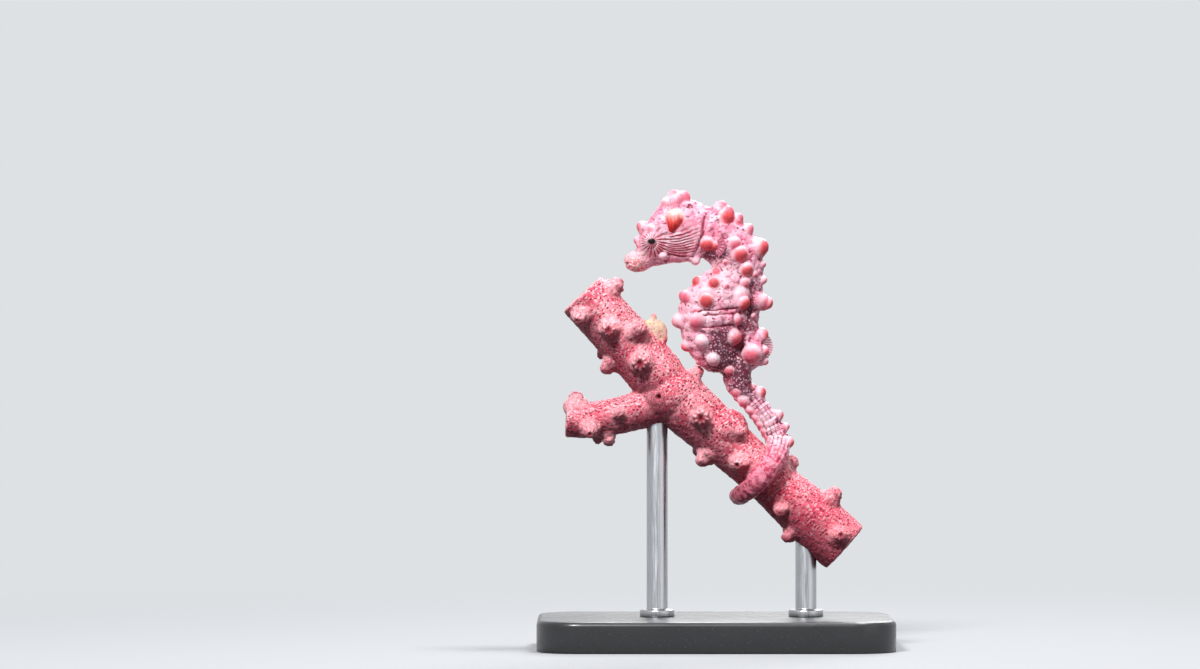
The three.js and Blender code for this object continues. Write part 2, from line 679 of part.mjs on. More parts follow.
const model = new THREE.Group();
for (const [name, inside] of Object.entries(LENGTHS)) model.add(mesh(name, pieceAt(pieces, inside), skin));
model.add(
  mesh("eye_left", eyes[0], eye),
  mesh("eye_right", eyes[1], eye),
  mesh("fin_dorsal", dorsalFin(), fin),
  mesh("fin_pectoral_left", pectoralFin(-1), fin),
  mesh("fin_pectoral_right", pectoralFin(1), fin),
  mesh("perch_stem", pieceAt(fanPieces, gripCentre), coral),
  mesh("perch_branch_upper", pieceAt(fanPieces, at(-4.6, 14.4)), coral),
  mesh("perch_branch_side", pieceAt(fanPieces, at(-5.2, 10.25)), coral),
  mesh("stand_base", baseSolid(), plinth),
  mesh("stand_rod_low", rodSolid(ROD.lowX, 7), steel),
  mesh("stand_rod_high", rodSolid(ROD.highX, 12), steel),
);

export default model;
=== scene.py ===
# A life-size museum model of a pygmy seahorse on a cut length of sea fan: its looks. Pieces are modelled in
# millimetres, a thousand times life size, and brought down to life size as each is finished.
import math

import bmesh
import bpy
import numpy as np
from mathutils import Matrix, Vector, noise
from mathutils.bvhtree import BVHTree
from mathutils.kdtree import KDTree


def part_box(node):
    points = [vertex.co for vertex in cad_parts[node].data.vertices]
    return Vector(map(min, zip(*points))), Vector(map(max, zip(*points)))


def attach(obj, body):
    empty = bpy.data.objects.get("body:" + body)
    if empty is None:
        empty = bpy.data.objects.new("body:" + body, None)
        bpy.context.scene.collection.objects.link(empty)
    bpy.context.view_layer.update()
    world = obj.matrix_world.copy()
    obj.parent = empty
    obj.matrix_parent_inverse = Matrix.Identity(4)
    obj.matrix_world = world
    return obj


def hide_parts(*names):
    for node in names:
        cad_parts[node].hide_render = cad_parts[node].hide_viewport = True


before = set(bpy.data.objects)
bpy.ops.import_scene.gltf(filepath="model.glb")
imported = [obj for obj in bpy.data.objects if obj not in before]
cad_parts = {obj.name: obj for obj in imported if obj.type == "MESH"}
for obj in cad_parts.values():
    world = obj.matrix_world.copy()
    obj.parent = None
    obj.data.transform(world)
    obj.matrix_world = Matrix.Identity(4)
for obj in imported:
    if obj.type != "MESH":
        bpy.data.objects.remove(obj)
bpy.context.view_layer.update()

# ---- Base ---------------------------------------------------------------------------------------------
# A flat plate with rounded corners that the model stands on, cut from steel and coated in satin black
# lacquer. Its corners are milled round, and its rims are eased with small bevels.

BASE_CORNER = 2.0
BASE_TOP_RIM, BASE_FOOT_RIM = 0.22, 0.22 / 3
LIFE_SIZE = 0.001


def pick_out(piece):
    """Selects this piece alone and makes it the one that is worked on."""
    bpy.ops.object.select_all(action="DESELECT")
    piece.select_set(True)
    bpy.context.view_layer.objects.active = piece


def edit(piece):
    """Opens the piece's mesh for editing with nothing selected, and gives it back."""
    pick_out(piece)
    bpy.ops.object.mode_set(mode="EDIT")
    bpy.ops.mesh.select_all(action="DESELECT")
    return bmesh.from_edit_mesh(piece.data)


def pick_edges(piece, chosen):
    """Selects the edges of the open mesh that chosen() says yes to."""
    bpy.ops.mesh.select_all(action="DESELECT")
    bpy.ops.mesh.select_mode(type="EDGE")
    mesh = bmesh.from_edit_mesh(piece.data)
    for edge in mesh.edges:
        edge.select = chosen(edge)
    mesh.select_flush_mode()
    bmesh.update_edit_mesh(piece.data)


def named(name):
    """The object that was just added, given its own name."""
    piece = bpy.context.object
    piece.name = piece.data.name = name
    return piece


def modified(piece, kind, **settings):
    """Adds a modifier with these settings and applies it."""
    pick_out(piece)
    modifier = piece.modifiers.new(kind.lower(), kind)
    for setting, value in settings.items():
        setattr(modifier, setting, value)
    bpy.ops.object.modifier_apply(modifier=modifier.name)


def box_of(node):
    """The lowest and the highest corner of a node's box, in millimetres."""
    return [Vector(corner) * 1000 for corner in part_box(node)]


def finished(piece, finish, replaced, smooth=180):
    """Brings a piece down to life size, smooths it, and sets it in the frame."""
    piece.data.transform(Matrix.Scale(LIFE_SIZE, 4))
    pick_out(piece)
    bpy.ops.object.shade_smooth_by_angle(angle=math.radians(smooth))
    piece.data.materials.clear()
    piece.data.materials.append(finish.owner)
    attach(piece, "root")
    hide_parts(*replaced)


class Value:
    """What a node puts out at each point. A sum on it adds a node and gives a new value."""

    def __init__(self, finish, socket):
        self.finish, self.socket = finish, socket

    def __add__(self, other):
        return self.finish.maths("ADD", self, other)

    def __sub__(self, other):
        return self.finish.maths("SUBTRACT", self, other)

    def __rsub__(self, other):
        return self.finish.maths("SUBTRACT", other, self)

    def __mul__(self, other):
        return self.finish.maths("MULTIPLY", self, other)

    def __truediv__(self, other):
        return self.finish.maths("DIVIDE", self, other)


class Finish:
    """A material, or the world round the model, being mixed: each call adds one node."""

    def __init__(self, name, kind="materials"):
        self.owner = getattr(bpy.data, kind).new(name)
        self.owner.use_nodes = True
        self.tree = self.owner.node_tree
        self.shader = self.tree.nodes.get("Principled BSDF") or self.tree.nodes["Background"]
        self.place = self.node("ShaderNodeTexCoord", output="Object")

    def join(self, source, socket):
        if isinstance(source, Value):
            self.tree.links.new(source.socket, socket)
        else:
            socket.default_value = source

    def node(self, kind, inputs=(), output=0, **settings):
        made = self.tree.nodes.new(kind)
        for setting, value in settings.items():
            setattr(made, setting, value)
        for socket, source in dict(inputs).items():
            self.join(source, made.inputs[socket])
        return Value(self, made.outputs[output])

    def set(self, **values):
        """Sets the shader's own sockets; an underscore stands for a space."""
        for name, value in values.items():
            self.join(value, self.shader.inputs[name.replace("_", " ")])

    def maths(self, operation, a, b=0.0, clamp=False):
        return self.node("ShaderNodeMath", {0: a, 1: b}, operation=operation, use_clamp=clamp)

    def highest(self, a, b):
        return self.maths("MAXIMUM", a, b)

    def ramp(self, value, low, high, to_low=0.0, to_high=1.0):
        """A smooth rise between two levels of a value, or a fall where low is above high."""
        inputs = {0: value, 1: low, 2: high, 3: to_low, 4: to_high}
        return self.node("ShaderNodeMapRange", inputs, interpolation_type="SMOOTHSTEP")

    def mix(self, share, a, b):
        return self.node("ShaderNodeMix", {0: share, 6: a, 7: b}, 2, data_type="RGBA")

    def stretched(self, place, stretch):
        if stretch == (1, 1, 1):
            return place
        return self.node("ShaderNodeMapping", {"Vector": place, "Scale": stretch})

    def noise(self, size, detail=3, rough=0.55, place=None, stretch=(1, 1, 1)):
        """Cloudy noise with clouds of about this size, in millimetres."""
        place = self.stretched(place or self.place, stretch)
        inputs = {"Vector": place, "Scale": 1000 / size, "Detail": detail, "Roughness": rough}
        return self.node("ShaderNodeTexNoise", inputs, "Fac")

    def cells(self, size, place=None, stretch=(1, 1, 1), wander=1.0):
        """How far the nearest of many scattered points is, as a share of this size in millimetres."""
        place = self.stretched(place or self.place, stretch)
        inputs = {"Vector": place, "Scale": 1000 / size, "Randomness": wander}
        return self.node("ShaderNodeTexVoronoi", inputs, "Distance")

    def attribute(self, name):
        """A number noted on each vertex of the piece."""
        return self.node("ShaderNodeAttribute", output="Fac", attribute_name=name)

    def bump(self, height, depth, strength=1.0, below=None):
        """Relief of this depth, in millimetres, over any relief below it."""
        inputs = {"Height": height, "Distance": depth / 1000, "Strength": strength}
        if below is not None:
            inputs["Normal"] = below
        return self.node("ShaderNodeBump", inputs)


def tint(red, green, blue):
    """A colour given as it looks on a screen, 0 to 255, turned into light."""
    parts = [c / 255 for c in (red, green, blue)]
    return tuple(c / 12.92 if c <= 0.04045 else ((c + 0.055) / 1.055) ** 2.4 for c in parts) + (1.0,)


def on_rim(edge, level):
    """Whether an edge lies at this level, where an upright side meets the top or the underside."""
    facing = [face.normal.z for face in edge.link_faces]
    return all(abs(vertex.co.z - level) < 0.01 for vertex in edge.verts) and max(facing) - min(facing) > 0.5


base_low, base_high = box_of("stand_base")
bpy.ops.object.select_all(action="DESELECT")
bpy.ops.mesh.primitive_cube_add(size=1, location=(base_low + base_high) / 2, scale=base_high - base_low)
base = named("base")
bpy.ops.object.transform_apply(location=True, rotation=True, scale=True)
edit(base)
pick_edges(base, lambda edge: abs(edge.verts[0].co.z - edge.verts[1].co.z) > 1)
bpy.ops.mesh.bevel(offset=BASE_CORNER, segments=14, affect="EDGES")
pick_edges(base, lambda edge: on_rim(edge, base_high.z))
bpy.ops.mesh.bevel(offset=BASE_TOP_RIM, segments=5, affect="EDGES")
pick_edges(base, lambda edge: on_rim(edge, base_low.z))
bpy.ops.mesh.bevel(offset=BASE_FOOT_RIM, segments=2, affect="EDGES")
bpy.ops.object.mode_set(mode="OBJECT")

lacquer = Finish("black_lacquer")
dust = lacquer.ramp(lacquer.noise(0.06, detail=2), 0.66, 0.74)
lacquer.set(Base_Color=lacquer.mix(dust, tint(34, 34, 36), tint(84, 83, 82)))
lacquer.set(Roughness=lacquer.ramp(lacquer.noise(2.5), 0.3, 0.7, 0.30, 0.42))
lacquer.set(Coat_Weight=0.25, Coat_Roughness=0.2)
lacquer.set(Normal=lacquer.bump(lacquer.noise(0.5, detail=2), 0.012, 0.5))
finished(base, lacquer, ["stand_base"], smooth=35)

# ---- Rods ---------------------------------------------------------------------------------------------
# Two brushed steel rods, each pressed into the base through a turned collar, hold the sea fan up. Each top
# runs a little way into a hole drilled in the sea fan's underside.

ROD_INTO_FAN, ROD_INTO_BASE = 0.25, 0.02
COLLAR_RADIUS, COLLAR_HEIGHT = 0.78, 0.34
ROD_SIDES = 40
ROD_EDGE = 0.07


def turned(name, foot, radius, top):
    """A rod raised from a disc on the base, with a collar round its foot and eased edges."""
    bpy.ops.object.select_all(action="DESELECT")
    bpy.ops.mesh.primitive_circle_add(
        vertices=ROD_SIDES, radius=COLLAR_RADIUS, fill_type="NGON", location=foot)
    piece = named(name)
    bpy.ops.object.transform_apply(location=True, rotation=True, scale=True)
    edit(piece)
    bpy.ops.mesh.select_all(action="SELECT")
    bpy.ops.mesh.extrude_region_move(TRANSFORM_OT_translate={"value": (0, 0, COLLAR_HEIGHT)})
    bpy.ops.mesh.inset(thickness=COLLAR_RADIUS - radius)
    bpy.ops.mesh.extrude_region_move(TRANSFORM_OT_translate={"value": (0, 0, top - foot.z - COLLAR_HEIGHT)})
    bpy.ops.mesh.select_all(action="SELECT")
    bpy.ops.mesh.normals_make_consistent(inside=False)
    bpy.ops.object.mode_set(mode="OBJECT")
    modified(piece, "BEVEL", width=ROD_EDGE, segments=3, limit_method="ANGLE", angle_limit=math.radians(40))
    return piece


steel = Finish("brushed_steel")
grain = steel.noise(0.05, detail=3, stretch=(1, 1, 0.04))
steel.set(Base_Color=steel.mix(grain, tint(150, 152, 156), tint(205, 207, 210)), Metallic=1.0)
steel.set(Roughness=steel.ramp(grain, 0.3, 0.7, 0.24, 0.4), Normal=steel.bump(grain, 0.006, 0.5))

for end in ("low", "high"):
    low, high = box_of("stand_rod_" + end)
    foot = Vector(((low.x + high.x) / 2, (low.y + high.y) / 2, base_high.z - ROD_INTO_BASE))
    rod = turned("rod_" + end, foot, (high.x - low.x) / 2, high.z + ROD_INTO_FAN)
    finished(rod, steel, ["stand_rod_" + end], smooth=30)

# ---- Sea fan ------------------------------------------------------------------------------------------
# A cut fork of a sea fan: a dark horny core under a thick, granular rind that is beaded all over with
# polyp mounds. Most polyps have drawn in behind eight small lobes, and a few stand open.

RIND_GRAIN = 0.06
BRANCH_SIDES = 24
BEHIND = 0.25
LEFT = Vector((0, -1, 0))

# The stem runs from its cut foot to the fork. Each line holds its points, x and z, and the radius at each.
STEM_FOOT, STEM_FORK = (5.85, 4.5), (-1.93, 11.43)
STEM_RADII = (1.27, 1.31, 1.24, 1.1, 1.06, 1.1, 1.18, 1.28, 1.35)
UPPER_LINE = (
    (-1.93, 11.43, 1.3), (-2.92, 12.6, 1.26), (-4.05, 13.86, 1.22), (-5.17, 15.07, 1.2), (-5.98, 15.93, 1.17),
)
SIDE_LINE = (
    (-1.6, 11.3, 1.1), (-2.5, 10.95, 0.97), (-3.38, 10.71, 0.87), (-4.63, 10.35, 0.82), (-5.85, 10.21, 0.82),
    (-6.71, 10.26, 0.78),
)
# The lip at a cut: how deep it is, the share of that at which it starts to narrow, and its rim's share.
CUT_LIP, LIP_EDGE, LIP_RIM = 0.1, 0.2, 0.94
CROTCH, CROTCH_RADII = Vector((-1.95, BEHIND, 11.35)), (1.6, 1.35, 1.3)
# The stem swells beside the tail.
STEM_SWELLING, SWELLING_RADII = Vector((0.56, -0.1, 9.82)), (0.95, 0.95, 0.95)

# Mounds: place along the line, turn from its upper edge towards the left, radius, and how far it is open.
STEM_MOUNDS = [
    (7.85, 5, 0.4, 0.2), (6.73, 88, 0.52, 1), (5.4, 56, 0.42, 0.05), (5.7, 160, 0.5, 0.1),
    (4.72, 108, 0.42, 0.7), (3.35, 6, 0.46, 0), (2.55, 122, 0.4, 0.2), (1.75, 158, 0.42, 0.2),
    (1.5, 14, 0.52, 0.3), (0.45, 80, 0.46, 0.5),
]
UPPER_MOUNDS = [
    (1.28, 97, 0.5, 1), (1.78, 172, 0.48, 0.1), (1.95, 58, 0.56, 0.3), (2.5, 98, 0.54, 0.6),
    (3.35, 14, 0.52, 0.2), (3.4, 128, 0.46, 0.4),
]
SIDE_MOUNDS = [(2.75, 84, 0.34, 0.5), (3.25, 168, 0.42, 0.2), (3.85, 118, 0.46, 0.4), (4.45, 8, 0.48, 0.2)]
LOBES = 8
MOUND_SINK = 0.12
# Where the tail holds the stem there are no mounds behind it.
TAIL_HOLDS = (2.6, 5.3)
# A scrap of yellow sponge has grown on the upper branch, and a worm has bored a small hole below the fork.
SCRAP = (
    ((-2.78, 0.05, 14.3), (0.64, 0.2, 0.5)), ((-2.76, 0.05, 14.88), (0.13, 0.1, 0.24)),
    ((-3.4, 0.05, 14.62), (0.34, 0.16, 0.22)), ((-2.3, 0.05, 13.95), (0.2, 0.14, 0.3)),
)
SCRAP_SPREAD, SCRAP_REACH = (0.95, 0.5, 0.95), 0.85
WORM_HOLE, HOLE_RADIUS, HOLE_DEPTH = (-2.56, 11.3), 0.1, 0.22
# Each mound's relief where it is wide open, and the grain of the rind.
PIT_DEPTH, RIM_HEIGHT, FOLD_DEPTH, KNOBBLE_HEIGHT = 0.2, 0.09, 0.04, 0.07
GRAIN_SPACING, GRAIN_HEIGHT = 0.18, 0.06
# How far round the far side the mounds zigzag, how large they are, and how much both vary.
FAR_TURN, FAR_SWING, FAR_RADIUS, FAR_SPREAD = 260, 48, 0.45, 0.07
# How steeply the stem and the side branch lean.
STEM_LEAN, SIDE_LEAN = 41.7, -7


def add_ring(centre, back, across, depth, half, sides):
    """Adds an oval ring of edges to the open mesh: its half depth towards the back, its half width across."""
    axes = Matrix((back, across, back.cross(across))).transposed()
    bpy.ops.mesh.primitive_circle_add(vertices=sides, radius=1, location=centre, rotation=axes.to_euler())
    bpy.ops.transform.resize(
        value=(depth, half, 1), orient_matrix=axes, orient_matrix_type="GLOBAL", center_override=centre)


def add_loft(piece, rings, sides):
    """Adds rings to the open mesh, bridges each to the one before, and closes both ends."""
    for number, ring in enumerate(rings):
        bpy.ops.mesh.select_all(action="DESELECT")
        add_ring(*ring, sides)
        if number:
            mesh = bmesh.from_edit_mesh(piece.data)
            mesh.verts.ensure_lookup_table()
            for vertex in mesh.verts[-2 * sides:]:
                vertex.select = True
            mesh.select_flush(True)
            bmesh.update_edit_mesh(piece.data)
            bpy.ops.mesh.bridge_edge_loops()
    bpy.ops.mesh.select_all(action="SELECT")
    bpy.ops.mesh.fill_holes(sides=0)


def empty_piece(name):
    """A new piece with no faces yet, open for editing."""
    bpy.ops.object.select_all(action="DESELECT")
    bpy.ops.mesh.primitive_circle_add(vertices=3, radius=1)
    piece = named(name)
    edit(piece)
    bpy.ops.mesh.select_all(action="SELECT")
    bpy.ops.mesh.delete(type="VERT")
    return piece


def lofted(name, lofts, sides):
    """A piece of several smooth lofts that run into each other."""
    piece = empty_piece(name)
    for rings in lofts:
        add_loft(piece, rings, sides)
    bpy.ops.mesh.select_all(action="SELECT")
    bpy.ops.mesh.normals_make_consistent(inside=False)
    bpy.ops.object.mode_set(mode="OBJECT")
    modified(piece, "SUBSURF", levels=2, render_levels=2)
    return piece


def branch_rings(line):
    """Rings square to a branch, and the way that it heads at its far end."""
    points = [Vector((x, BEHIND, z)) for x, z, _ in line]
    rings = []
    for number, (point, (_, _, radius)) in enumerate(zip(points, line)):
        ahead = (points[min(number + 1, len(points) - 1)] - points[max(number - 1, 0)]).normalized()
        back = ahead.cross(LEFT)
        if back.z < 0:
            back.negate()
        rings.append((point, back, LEFT, radius, radius))
    return rings, ahead


def with_lip(rings, ahead):
    """The rings with a thin lip at the last one, narrower at its rim, so that the cut stays sharp."""
    centre, back, across, radius, _ = rings[-1]
    inside, edge = (
        (centre - ahead * CUT_LIP * share, back, across, radius, radius) for share in (1.0, LIP_EDGE))
    rim = (centre, back, across, radius * LIP_RIM, radius * LIP_RIM)
    return rings[:-1] + [inside, edge, rim]


def on_branch(rings, place, turn):
    """A point on a branch's rind and the way out of it, from its place along the rings and its turn."""
    first = min(int(place), len(rings) - 2)
    share = place - first
    centre = rings[first][0].lerp(rings[first + 1][0], share)
    back = rings[first][1].lerp(rings[first + 1][1], share).normalized()
    radius = rings[first][3] * (1 - share) + rings[first + 1][3] * share
    angle = math.radians(turn)
    out = back * math.cos(angle) + LEFT * math.sin(angle)
    return centre + out * radius, out


def mounds_behind(start, end, step):
    """Mounds that zigzag along the far side of a branch."""
    made = []
    for number in range(int((end - start) / step) + 1):
        turn = FAR_TURN + FAR_SWING * math.sin(2.4 * number)
        radius = FAR_RADIUS + FAR_SPREAD * math.cos(1.7 * number)
        made.append((start + step * number, turn, radius, 0.5 + 0.5 * math.sin(3.1 * number)))
    return made


def add_ball(centre, radii, turn=(0, 0, 0), segments=20, rings=12):
    bpy.ops.mesh.primitive_uv_sphere_add(
        segments=segments, ring_count=rings, radius=1, location=centre, rotation=turn, scale=radii)


def join_pieces(whole, part):
    """Leaves the open part and makes it one piece with the whole."""
    bpy.ops.object.mode_set(mode="OBJECT")
    pick_out(whole)
    part.select_set(True)
    bpy.ops.object.join()


def moulded(piece, grain, soften):
    """Fuses all that a piece is made of into one skin of even squares, and softens it."""
    modified(piece, "REMESH", mode="VOXEL", voxel_size=grain)
    modified(piece, "SMOOTH", factor=0.5, iterations=soften)


def points_and_normals(piece):
    count = len(piece.data.vertices)
    points, normals = np.empty(count * 3), np.empty(count * 3)
    piece.data.vertices.foreach_get("co", points)
    piece.data.vertex_normals.foreach_get("vector", normals)
    return points.reshape(-1, 3), normals.reshape(-1, 3)


def carve(piece, points):
    piece.data.vertices.foreach_set("co", points.ravel())
    piece.data.update()


def note(piece, name, values):
    """Keeps a number for each vertex, for the material to read."""
    kept = piece.data.attributes.new(name, "FLOAT", "POINT")
    kept.data.foreach_set("value", np.ascontiguousarray(values, np.float32))


def ease(values, low, high):
    """0 up to low, 1 from high, and a smooth rise between; it falls where low is above high."""
    share = np.clip((values - low) / (high - low), 0, 1)
    return share * share * (3 - 2 * share)


def bell(values, middle, width):
    return np.exp(-(((values - middle) / width) ** 2))


def hollows(piece, rounds):
    """How deep each vertex lies in a hollow, in millimetres: below zero where it stands out."""
    points, normals = points_and_normals(piece)
    count = len(points)
    edges = np.empty(len(piece.data.edges) * 2, np.int64)
    piece.data.edges.foreach_get("vertices", edges)
    a, b = edges[0::2], edges[1::2]
    degree = np.bincount(edges, minlength=count)[:, None]
    softer = points.copy()
    for _ in range(rounds):
        total = [np.bincount(a, softer[b, k], count) + np.bincount(b, softer[a, k], count) for k in range(3)]
        softer += 0.5 * (np.stack(total, 1) / degree - softer)
    return ((softer - points) * normals).sum(1)


stem_line = []
for number, radius in enumerate(STEM_RADII):
    x, z = (foot + (fork - foot) * number / 8 for foot, fork in zip(STEM_FOOT, STEM_FORK))
    stem_line.append((x, z, radius))
stem_rings, stem_ahead = branch_rings(stem_line)
upper_rings, upper_ahead = branch_rings(UPPER_LINE)
side_rings, side_ahead = branch_rings(SIDE_LINE)
sea_fan = lofted("sea_fan", (
    with_lip(stem_rings[::-1], -stem_ahead)[::-1], with_lip(upper_rings, upper_ahead),
    with_lip(side_rings, side_ahead)), BRANCH_SIDES)

behind_stem = [
    mound for mound in mounds_behind(0.5, 7.4, 0.55) if mound[0] < TAIL_HOLDS[0] or mound[0] > TAIL_HOLDS[1]]
mounds = []
for rings, listed in (
        (stem_rings, STEM_MOUNDS + behind_stem), (upper_rings, UPPER_MOUNDS + mounds_behind(1.3, 3.6, 0.42)),
        (side_rings, SIDE_MOUNDS + mounds_behind(2.6, 4.6, 0.5))):
    for place, turn, radius, opened in listed:
        point, out = on_branch(rings, place, turn)
        mounds.append((point - out * MOUND_SINK * radius, out, radius, opened))

beads = empty_piece("beads")
add_ball(CROTCH, CROTCH_RADII)
add_ball(STEM_SWELLING, SWELLING_RADII)
for centre, radii in SCRAP:
    add_ball(centre, radii)
for number, (centre, out, radius, _) in enumerate(mounds):
    turn = out.to_track_quat("Z", "Y").to_euler()
    wide = 1.05 + 0.12 * math.sin(5 * number)
    add_ball(centre - out * 0.3 * radius, (radius * wide * 1.1, radius * wide, radius), turn)
    add_ball(centre + out * 0.5 * radius, (radius * 0.72, radius * 0.72, radius * 0.76), turn)
join_pieces(sea_fan, beads)
moulded(sea_fan, RIND_GRAIN, 6)

# Relief of the rind: each mound's lobes, rim and mouth, the worm's hole, and the knobbles of the mounds.
points, normals = points_and_normals(sea_fan)
height, mound_share, mouth_share, fold_share = np.zeros((4, len(points)))
for number, (centre, out, radius, opened) in enumerate(mounds):
    away = points - np.array(centre)
    near = np.linalg.norm(away, axis=1) < radius * 1.7
    across_x = out.orthogonal().normalized()
    across_y = out.cross(across_x)
    spots = away[near]
    up, side_x, side_y = (spots @ np.array(way) for way in (out, across_x, across_y))
    from_axis = np.hypot(side_x, side_y) / radius
    angle = np.arctan2(side_y, side_x) + number
    lobe = 0.5 + 0.5 * np.cos(LOBES * angle)
    top = ease(up / radius, 0.1, 0.5)
    mouth = 0.1 + 0.3 * opened
    pit = ease(from_axis + 0.09 * lobe, mouth + 0.07, mouth - 0.09) * top
    rim = bell(from_axis, mouth + 0.1, 0.13) * top
    fold = (1 - lobe) ** 2 * ease(from_axis, 0.1, 0.3) * ease(from_axis, 0.95, 0.6) * top
    height[near] += rim * (0.3 + 0.7 * lobe) * RIM_HEIGHT * opened - pit * PIT_DEPTH * opened
    height[near] -= FOLD_DEPTH * fold * (0.2 + opened)
    whole = ease(np.linalg.norm(spots, axis=1) / radius, 1.35, 0.95)
    mound_share[near] = np.maximum(mound_share[near], whole)
    mouth_share[near] = np.maximum(mouth_share[near], pit * ease(opened, 0.1, 0.7))
    fold_share[near] = np.maximum(fold_share[near], fold * (0.1 + 0.9 * opened))
hole_gap = np.hypot(points[:, 0] - WORM_HOLE[0], points[:, 2] - WORM_HOLE[1])
bored = ease(hole_gap, HOLE_RADIUS * 1.4, HOLE_RADIUS * 0.7) * (normals[:, 1] < -0.3)
height -= HOLE_DEPTH * bored
mouth_share = np.maximum(mouth_share, bored)
knobbly = [noise.noise(point * 5.5) + 0.6 * noise.noise(point * 11) for point in map(Vector, points)]
height += KNOBBLE_HEIGHT * np.array(knobbly) * mound_share * (1 - mouth_share)
scrap_gap = np.linalg.norm((points - np.array(SCRAP[0][0])) / np.array(SCRAP_SPREAD), axis=1)
note(sea_fan, "scrap", ease(scrap_gap, SCRAP_REACH, SCRAP_REACH * 0.6))
# How far each vertex faces downwards, for painted shade on the undersides.
note(sea_fan, "under", ease(-normals[:, 2] - 0.25 * normals[:, 1], -0.1, 0.85))
carve(sea_fan, points + normals * height[:, None])

rind_grains = bpy.data.textures.new("rind_grains", "VORONOI")
rind_grains.noise_scale = GRAIN_SPACING
modified(
    sea_fan, "DISPLACE", texture=rind_grains, texture_coords="LOCAL", strength=GRAIN_HEIGHT, mid_level=0.5)
modified(sea_fan, "SMOOTH", factor=0.5, iterations=1)

note(sea_fan, "mound", mound_share)
note(sea_fan, "mouth", mouth_share)
note(sea_fan, "fold", fold_share)
# How deep each vertex lies in a hollow, for painted shade in the hollows and a painted highlight on what
# stands out.
note(sea_fan, "hollow", np.clip(hollows(sea_fan, 14) / 0.09, -1, 1))
points, normals = points_and_normals(sea_fan)
cut_face, core = np.zeros(len(points)), np.full(len(points), 9.0)
for middle, ahead in (
        (stem_rings[0][0], -stem_ahead), (upper_rings[-1][0], upper_ahead), (side_rings[-1][0], side_ahead)):
    away = points - np.array(middle)
    from_middle = np.linalg.norm(away, axis=1)
    here = (away @ np.array(ahead) > -0.09) & (from_middle < 1.5)
    cut_face[here] = np.maximum(cut_face[here], ease(normals[here] @ np.array(ahead), 0.6, 0.85))
    core[here] = np.minimum(core[here], from_middle[here])
note(sea_fan, "cut", cut_face)
note(sea_fan, "core", core)
note(sea_fan, "side_branch", ease(points[:, 0], -2.2, -3.2) * ease(points[:, 2], 11.9, 11.4))

# The rind's dots lie in rows along each branch, so the pattern is turned to the stem or to the side branch.
rind = Finish("sea_fan_rind")
stem_grid, side_grid = (
    rind.node("ShaderNodeMapping", {"Vector": rind.place, "Rotation": (0, math.radians(turn), 0)})
    for turn in (STEM_LEAN, SIDE_LEAN))
grid = rind.node(
    "ShaderNodeMix", {0: rind.attribute("side_branch"), 4: stem_grid, 5: side_grid}, 1, data_type="VECTOR")
dots = rind.cells(0.13, grid, stretch=(0.7, 1, 1), wander=0.75)
dark_dash = rind.ramp(dots, 0.42, 0.28) * rind.ramp(rind.noise(0.5), 0.34, 0.5, 0.3, 1)
pale_dash = rind.ramp(rind.noise(0.09, detail=1, place=grid, stretch=(0.6, 1, 1)), 0.53, 0.64)
pore = rind.ramp(rind.cells(0.3, grid), 0.16, 0.09)
mound, hollow = rind.attribute("mound"), rind.attribute("hollow")
level = rind.node("ShaderNodeSeparateXYZ", {0: rind.place}, 2)
sponge = rind.mix(rind.ramp(rind.noise(0.25), 0.4, 0.6), tint(220, 216, 172), tint(230, 192, 178))
core_grain = rind.mix(rind.noise(0.08), tint(46, 26, 20), tint(82, 50, 34))
cut_colour = rind.mix(rind.ramp(rind.attribute("core"), 0.34, 0.42), core_grain, tint(238, 168, 172))

colour = rind.mix(rind.ramp(rind.noise(1.4, detail=3), 0.36, 0.66), tint(234, 92, 116), tint(252, 152, 166))
for share, laid_over in (
        (dark_dash * rind.ramp(mound, 0.2, 0.9, 0.9, 0.4), tint(140, 22, 46)),
        (pale_dash * rind.ramp(mound, 0.2, 0.9, 0.9, 0.8), tint(254, 206, 212)),
        (mound * 0.5, tint(255, 194, 200)),
        (pore * 0.7, tint(112, 22, 42)),
        # Painted shade in the folds between each mound's lobes.
        (rind.attribute("fold") * 0.7, tint(186, 58, 78)),
        # Painted shade in the hollows, and a painted highlight where the rind stands out.
        (rind.ramp(hollow, 0.05, 0.8, 0, 0.7), tint(140, 34, 58)),
        (rind.ramp(hollow, -0.2, -0.9, 0, 0.5), tint(255, 222, 226)),
        # Painted shade: the stem is darker below 8.5 mm, where the tail and body shadow it.
        (rind.ramp(level, 0.0085, 0.006, 0, 0.4), tint(186, 40, 68)),
        # Painted shade on the undersides.
        (rind.attribute("under") * 0.75, tint(112, 18, 46)),
        (rind.attribute("scrap") * 0.85, sponge),
        # Painted shade in the open mouths and in the worm's hole.
        (rind.attribute("mouth"), tint(120, 12, 28)),
        (rind.attribute("cut"), cut_colour)):
    colour = rind.mix(share, colour, laid_over)
rind.set(Base_Color=colour, Roughness=0.6, Specular_IOR_Level=0.2)
rind.set(Subsurface_Weight=0.12, Subsurface_Scale=0.0002, Subsurface_Radius=(1.0, 0.35, 0.3))
coarse = rind.bump(1.0 - (dark_dash + pore), 0.03, 0.9)
rind.set(Normal=rind.bump(rind.noise(0.05), 0.012, 0.6, coarse))
finished(sea_fan, rind, ["perch_stem", "perch_branch_upper", "perch_branch_side"])

# ---- Skin ---------------------------------------------------------------------------------------------
# The seahorse's skin, cast in one piece over a head, a bent column, a swollen belly and a tail that wraps
# the stem. Blunt tubercles are set over it, and the folds of the cheek are cut in by hand.

SKIN_GRAIN = 0.05
SKIN_SIDES = 20

